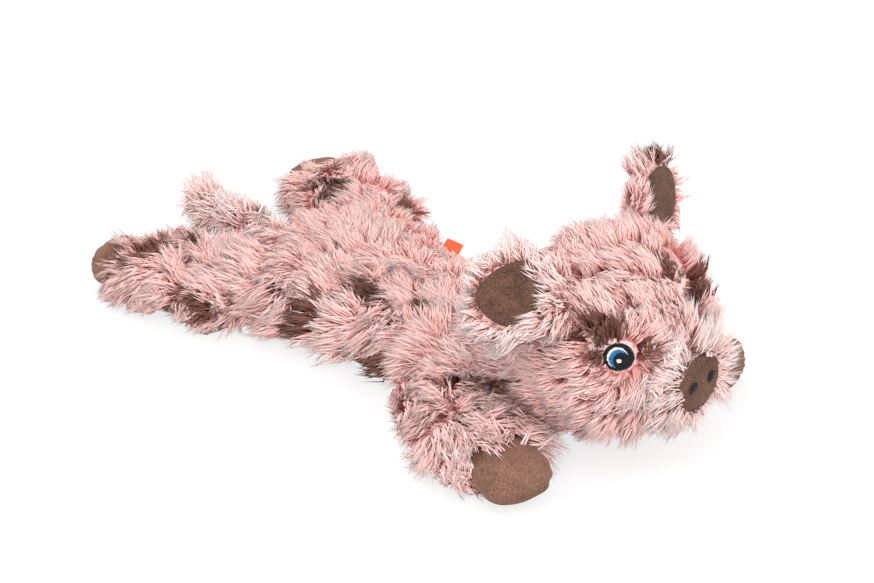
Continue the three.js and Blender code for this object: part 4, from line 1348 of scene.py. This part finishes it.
class PIG_OT_eyes(bpy.types.Operator):
    """Embroiders the eyes: a black outline and pupil, a white and a blue crescent and a small glint."""

    bl_idname = "pig.eyes"
    bl_label = "Eyes"

    def execute(self, context):
        for name, side in SIDES.items():
            self.eye(name, side, context.scene.pig_sizes)
        return {"FINISHED"}

    def eye(self, name, side, sizes):
        """One eye, stitched thread by thread."""
        whole = oval(EYE_WIDE, EYE_HIGH)
        white = oval(5.3, 5.3, -0.6, -0.3)
        blue = oval(4.9, 4.9, 0.0, -1.1)
        pupil = oval(4.5, 4.5, 1.4, -2.1)
        glint = oval(1.1, 1.1, 0.0, -2.0)
        parts = {
            "black_thread": (lambda *at: whole(*at) & (~white(*at) | pupil(*at)) & ~glint(*at), 64, "black"),
            "white_thread": (lambda *at: white(*at) & ~blue(*at) & ~pupil(*at), 12, "white"),
            "blue_thread": (lambda *at: white(*at) & blue(*at) & ~pupil(*at), -24, "blue"),
            "glint": (glint, 0, "white"),
        }
        for number, (part, (inside, slant, thread)) in enumerate(parts.items()):
            made = stitched(
                f"eye_{name}_{part}_stitches", eye_frame(side), inside, 8.4, sizes,
                seed=400 + number + 10 * side, slant=slant, lift=0.35 + 0.12 * number,
            )
            finished(made, "head", "thread_" + thread, f"eye_{name}_{part}", finish=thread + "_silk")


class PIG_OT_label(bpy.types.Operator):
    """Makes the bare folded ribbon that is caught in the left side seam."""

    bl_idname = "pig.label"
    bl_label = "Label"

    def execute(self, context):
        low, high = [np.array(v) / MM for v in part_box("side_label")]
        wide, columns, rows = 13, 14, 20
        steps = (1, -1), np.linspace(0, 1, rows + 1), np.linspace(-0.5, 0.5, columns + 1)
        fold, t, s = np.meshgrid(*steps, indexing="ij")
        gap = 0.32 + 0.5 * np.sin(math.pi * t).clip(0) ** 0.7 * (1 - t)
        curl = 0.5 * np.sin(2.2 * s + 1.1) * t
        corners = np.stack([
            (low[0] + high[0]) / 2 - 2.5 + s * wide,
            low[1] - 1.5 + t * (high[1] - low[1] - 5),
            low[2] + 1 + t * (high[2] - low[2] - 1.5) + curl + fold * (gap * (1 - t * t) + 0.22),
        ], axis=-1)
        count = (rows + 1) * (columns + 1)
        top = np.arange(count).reshape(rows + 1, columns + 1)
        quads = np.stack([top[:-1, :-1], top[:-1, 1:], top[1:, 1:], top[1:, :-1]], axis=-1).reshape(-1, 4)
        faces = [*quads.tolist(), *(quads + count)[:, ::-1].tolist()]
        for edge in (top[0, ::-1], top[:, 0], top[-1], top[::-1, -1]):
            faces += [(a, b, b + count, a + count) for a, b in zip(edge.tolist(), edge[1:].tolist())]
        ribbon = new_object("label_fold", corners.reshape(-1, 3), faces)
        finished(ribbon, "torso", "ribbon", "side_label", finish="label_ribbon")
        return {"FINISHED"}


class PIG_OT_filling(bpy.types.Operator):
    """Gives the filling and the squeaker inside the toy their finishes."""

    bl_idname = "pig.filling"
    bl_label = "Filling"

    def execute(self, context):
        finishes = {
            "torso_wadding": "fibre_fill", "head_stuffing": "fibre_fill",
            "squeaker_bulb": "blown_plastic", "squeaker_reed": "blown_plastic",
        }
        for name, finish in finishes.items():
            for slot in frame["nodes"][name].material_slots:
                slot.material = bpy.data.materials[finish]
        return {"FINISHED"}


class PIG_OT_stage(bpy.types.Operator):
    """Makes the pale floor, the soft studio light and the camera."""

    bl_idname = "pig.stage"
    bl_label = "Stage"

    def execute(self, context):
        scene, far = context.scene, FLOOR_REACH
        corners = [(-far, -far, 0), (far, -far, 0), (far, far, 0), (-far, far, 0)]
        floor = new_object("floor", corners, [(0, 1, 2, 3)])
        floor.data.materials.append(self.floor_finish())
        self.world(scene)
        for name, lamp in LAMPS.items():
            self.lamp(name, *lamp)
        self.camera(scene)
        scene.view_settings.view_transform = "Standard"
        return {"FINISHED"}

    def directly_seen(self, tree, *rays):
        """One for the camera's rays and for those of the other kinds."""
        seen = node(tree, "ShaderNodeLightPath").outputs
        share = seen["Is Camera Ray"]
        for ray in rays:
            share = calculated(tree, "MAXIMUM", share, seen[ray])
        return share

    def floor_finish(self):
        """A white sweep that keeps the shadow."""
        tree, shader = new_finish("floor_paper", roughness=1.0, specular=0.0)
        feed(shader, {"Base Color": (0.93, 0.93, 0.93, 1)})
        grain = node(tree, "ShaderNodeTexNoise", {"Scale": 6.0})
        shades = ramp(tree, [(0.0, (0.995, 0.995, 0.995, 1)), (1.0, (1, 1, 1, 1))], grain)
        glow = node(tree, "ShaderNodeEmission", {"Color": shades, "Strength": 1.0})
        seen = self.directly_seen(tree, "Is Glossy Ray", "Is Transmission Ray")
        share = calculated(tree, "MULTIPLY", seen, 0.78)
        mix = node(tree, "ShaderNodeMixShader", {"Fac": share, 1: shader, 2: glow})
        feed(tree.nodes["Material Output"], {"Surface": mix})
        return bpy.data.materials["floor_paper"]

    def world(self, scene):
        """White to the camera, and an even soft light to the object."""
        scene.world = bpy.data.worlds.new("studio")
        scene.world.use_nodes = True
        tree = scene.world.node_tree
        light = feed(tree.nodes["Background"], {"Color": (1.0, 0.99, 0.98, 1), "Strength": 0.86})
        white = node(tree, "ShaderNodeBackground", {"Color": (1, 1, 1, 1), "Strength": 1.0})
        seen = self.directly_seen(tree, "Is Glossy Ray", "Is Transmission Ray")
        mix = node(tree, "ShaderNodeMixShader", {"Fac": seen, 1: light, 2: white})
        feed(tree.nodes["World Output"], {"Surface": mix})

    def lamp(self, name, place, size, power):
        """A square soft lamp that looks at the object."""
        data = bpy.data.lights.new(name, "AREA")
        data.shape = "SQUARE"
        data.size = size
        data.energy = power
        lamp = linked(name, data)
        lamp.location = place
        lamp.rotation_euler = (Vector(LAMP_MIDDLE) - Vector(place)).to_track_quat("-Z", "Y").to_euler()

    def camera(self, scene):
        """The photograph's view: from the front right, above the object."""
        data = bpy.data.cameras.new("camera")
        data.lens = VIEW_LENS
        data.sensor_width = 36
        a, e = math.radians(VIEW_TURN), math.radians(VIEW_RISE)
        back = Vector((math.sin(a) * math.cos(e), -math.cos(a) * math.cos(e), math.sin(e)))
        scene.camera = linked("camera", data)
        scene.camera.location = Vector(VIEW_MIDDLE) + back * VIEW_AWAY
        scene.camera.rotation_euler = (-back).to_track_quat("-Z", "Y").to_euler()


class PIG_PT_panel(bpy.types.Panel):
    """Lists the plush pig's sizes, colours and pieces."""

    bl_label = "Plush Pig"
    bl_idname = "PIG_PT_panel"
    bl_space_type = "VIEW_3D"
    bl_region_type = "UI"
    bl_category = "Plush Pig"

    def draw(self, context):
        for group in (context.scene.pig_sizes, context.scene.pig_colours):
            box = self.layout.box()
            for name in group.__annotations__:
                box.prop(group, name)
        for operator in OPERATORS:
            self.layout.operator(operator.bl_idname)


OPERATORS = (
    PIG_OT_finishes, PIG_OT_torso, PIG_OT_head, PIG_OT_neck, PIG_OT_legs, PIG_OT_trotters, PIG_OT_tail,
    PIG_OT_ears, PIG_OT_snout, PIG_OT_eyes, PIG_OT_label, PIG_OT_filling, PIG_OT_stage,
)
CLASSES = (PIG_PG_sizes, PIG_PG_colours, *OPERATORS, PIG_PT_panel)


def register():
    for cls in CLASSES:
        bpy.utils.register_class(cls)
    bpy.types.Scene.pig_sizes = bpy.props.PointerProperty(type=PIG_PG_sizes)
    bpy.types.Scene.pig_colours = bpy.props.PointerProperty(type=PIG_PG_colours)


def unregister():
    del bpy.types.Scene.pig_colours
    del bpy.types.Scene.pig_sizes
    for cls in reversed(CLASSES):
        bpy.utils.unregister_class(cls)


def main():
    """Makes every piece in order."""
    register()
    for operator in OPERATORS:
        group, name = operator.bl_idname.split(".")
        getattr(getattr(bpy.ops, group), name)()
    shapes = bpy.data.collections.get("pile_locks")
    for held in [*shapes.objects, bpy.data.objects["thread"]]:
        bpy.data.objects.remove(held)
    bpy.data.collections.remove(shapes)


if __name__ == "__main__":
    main()
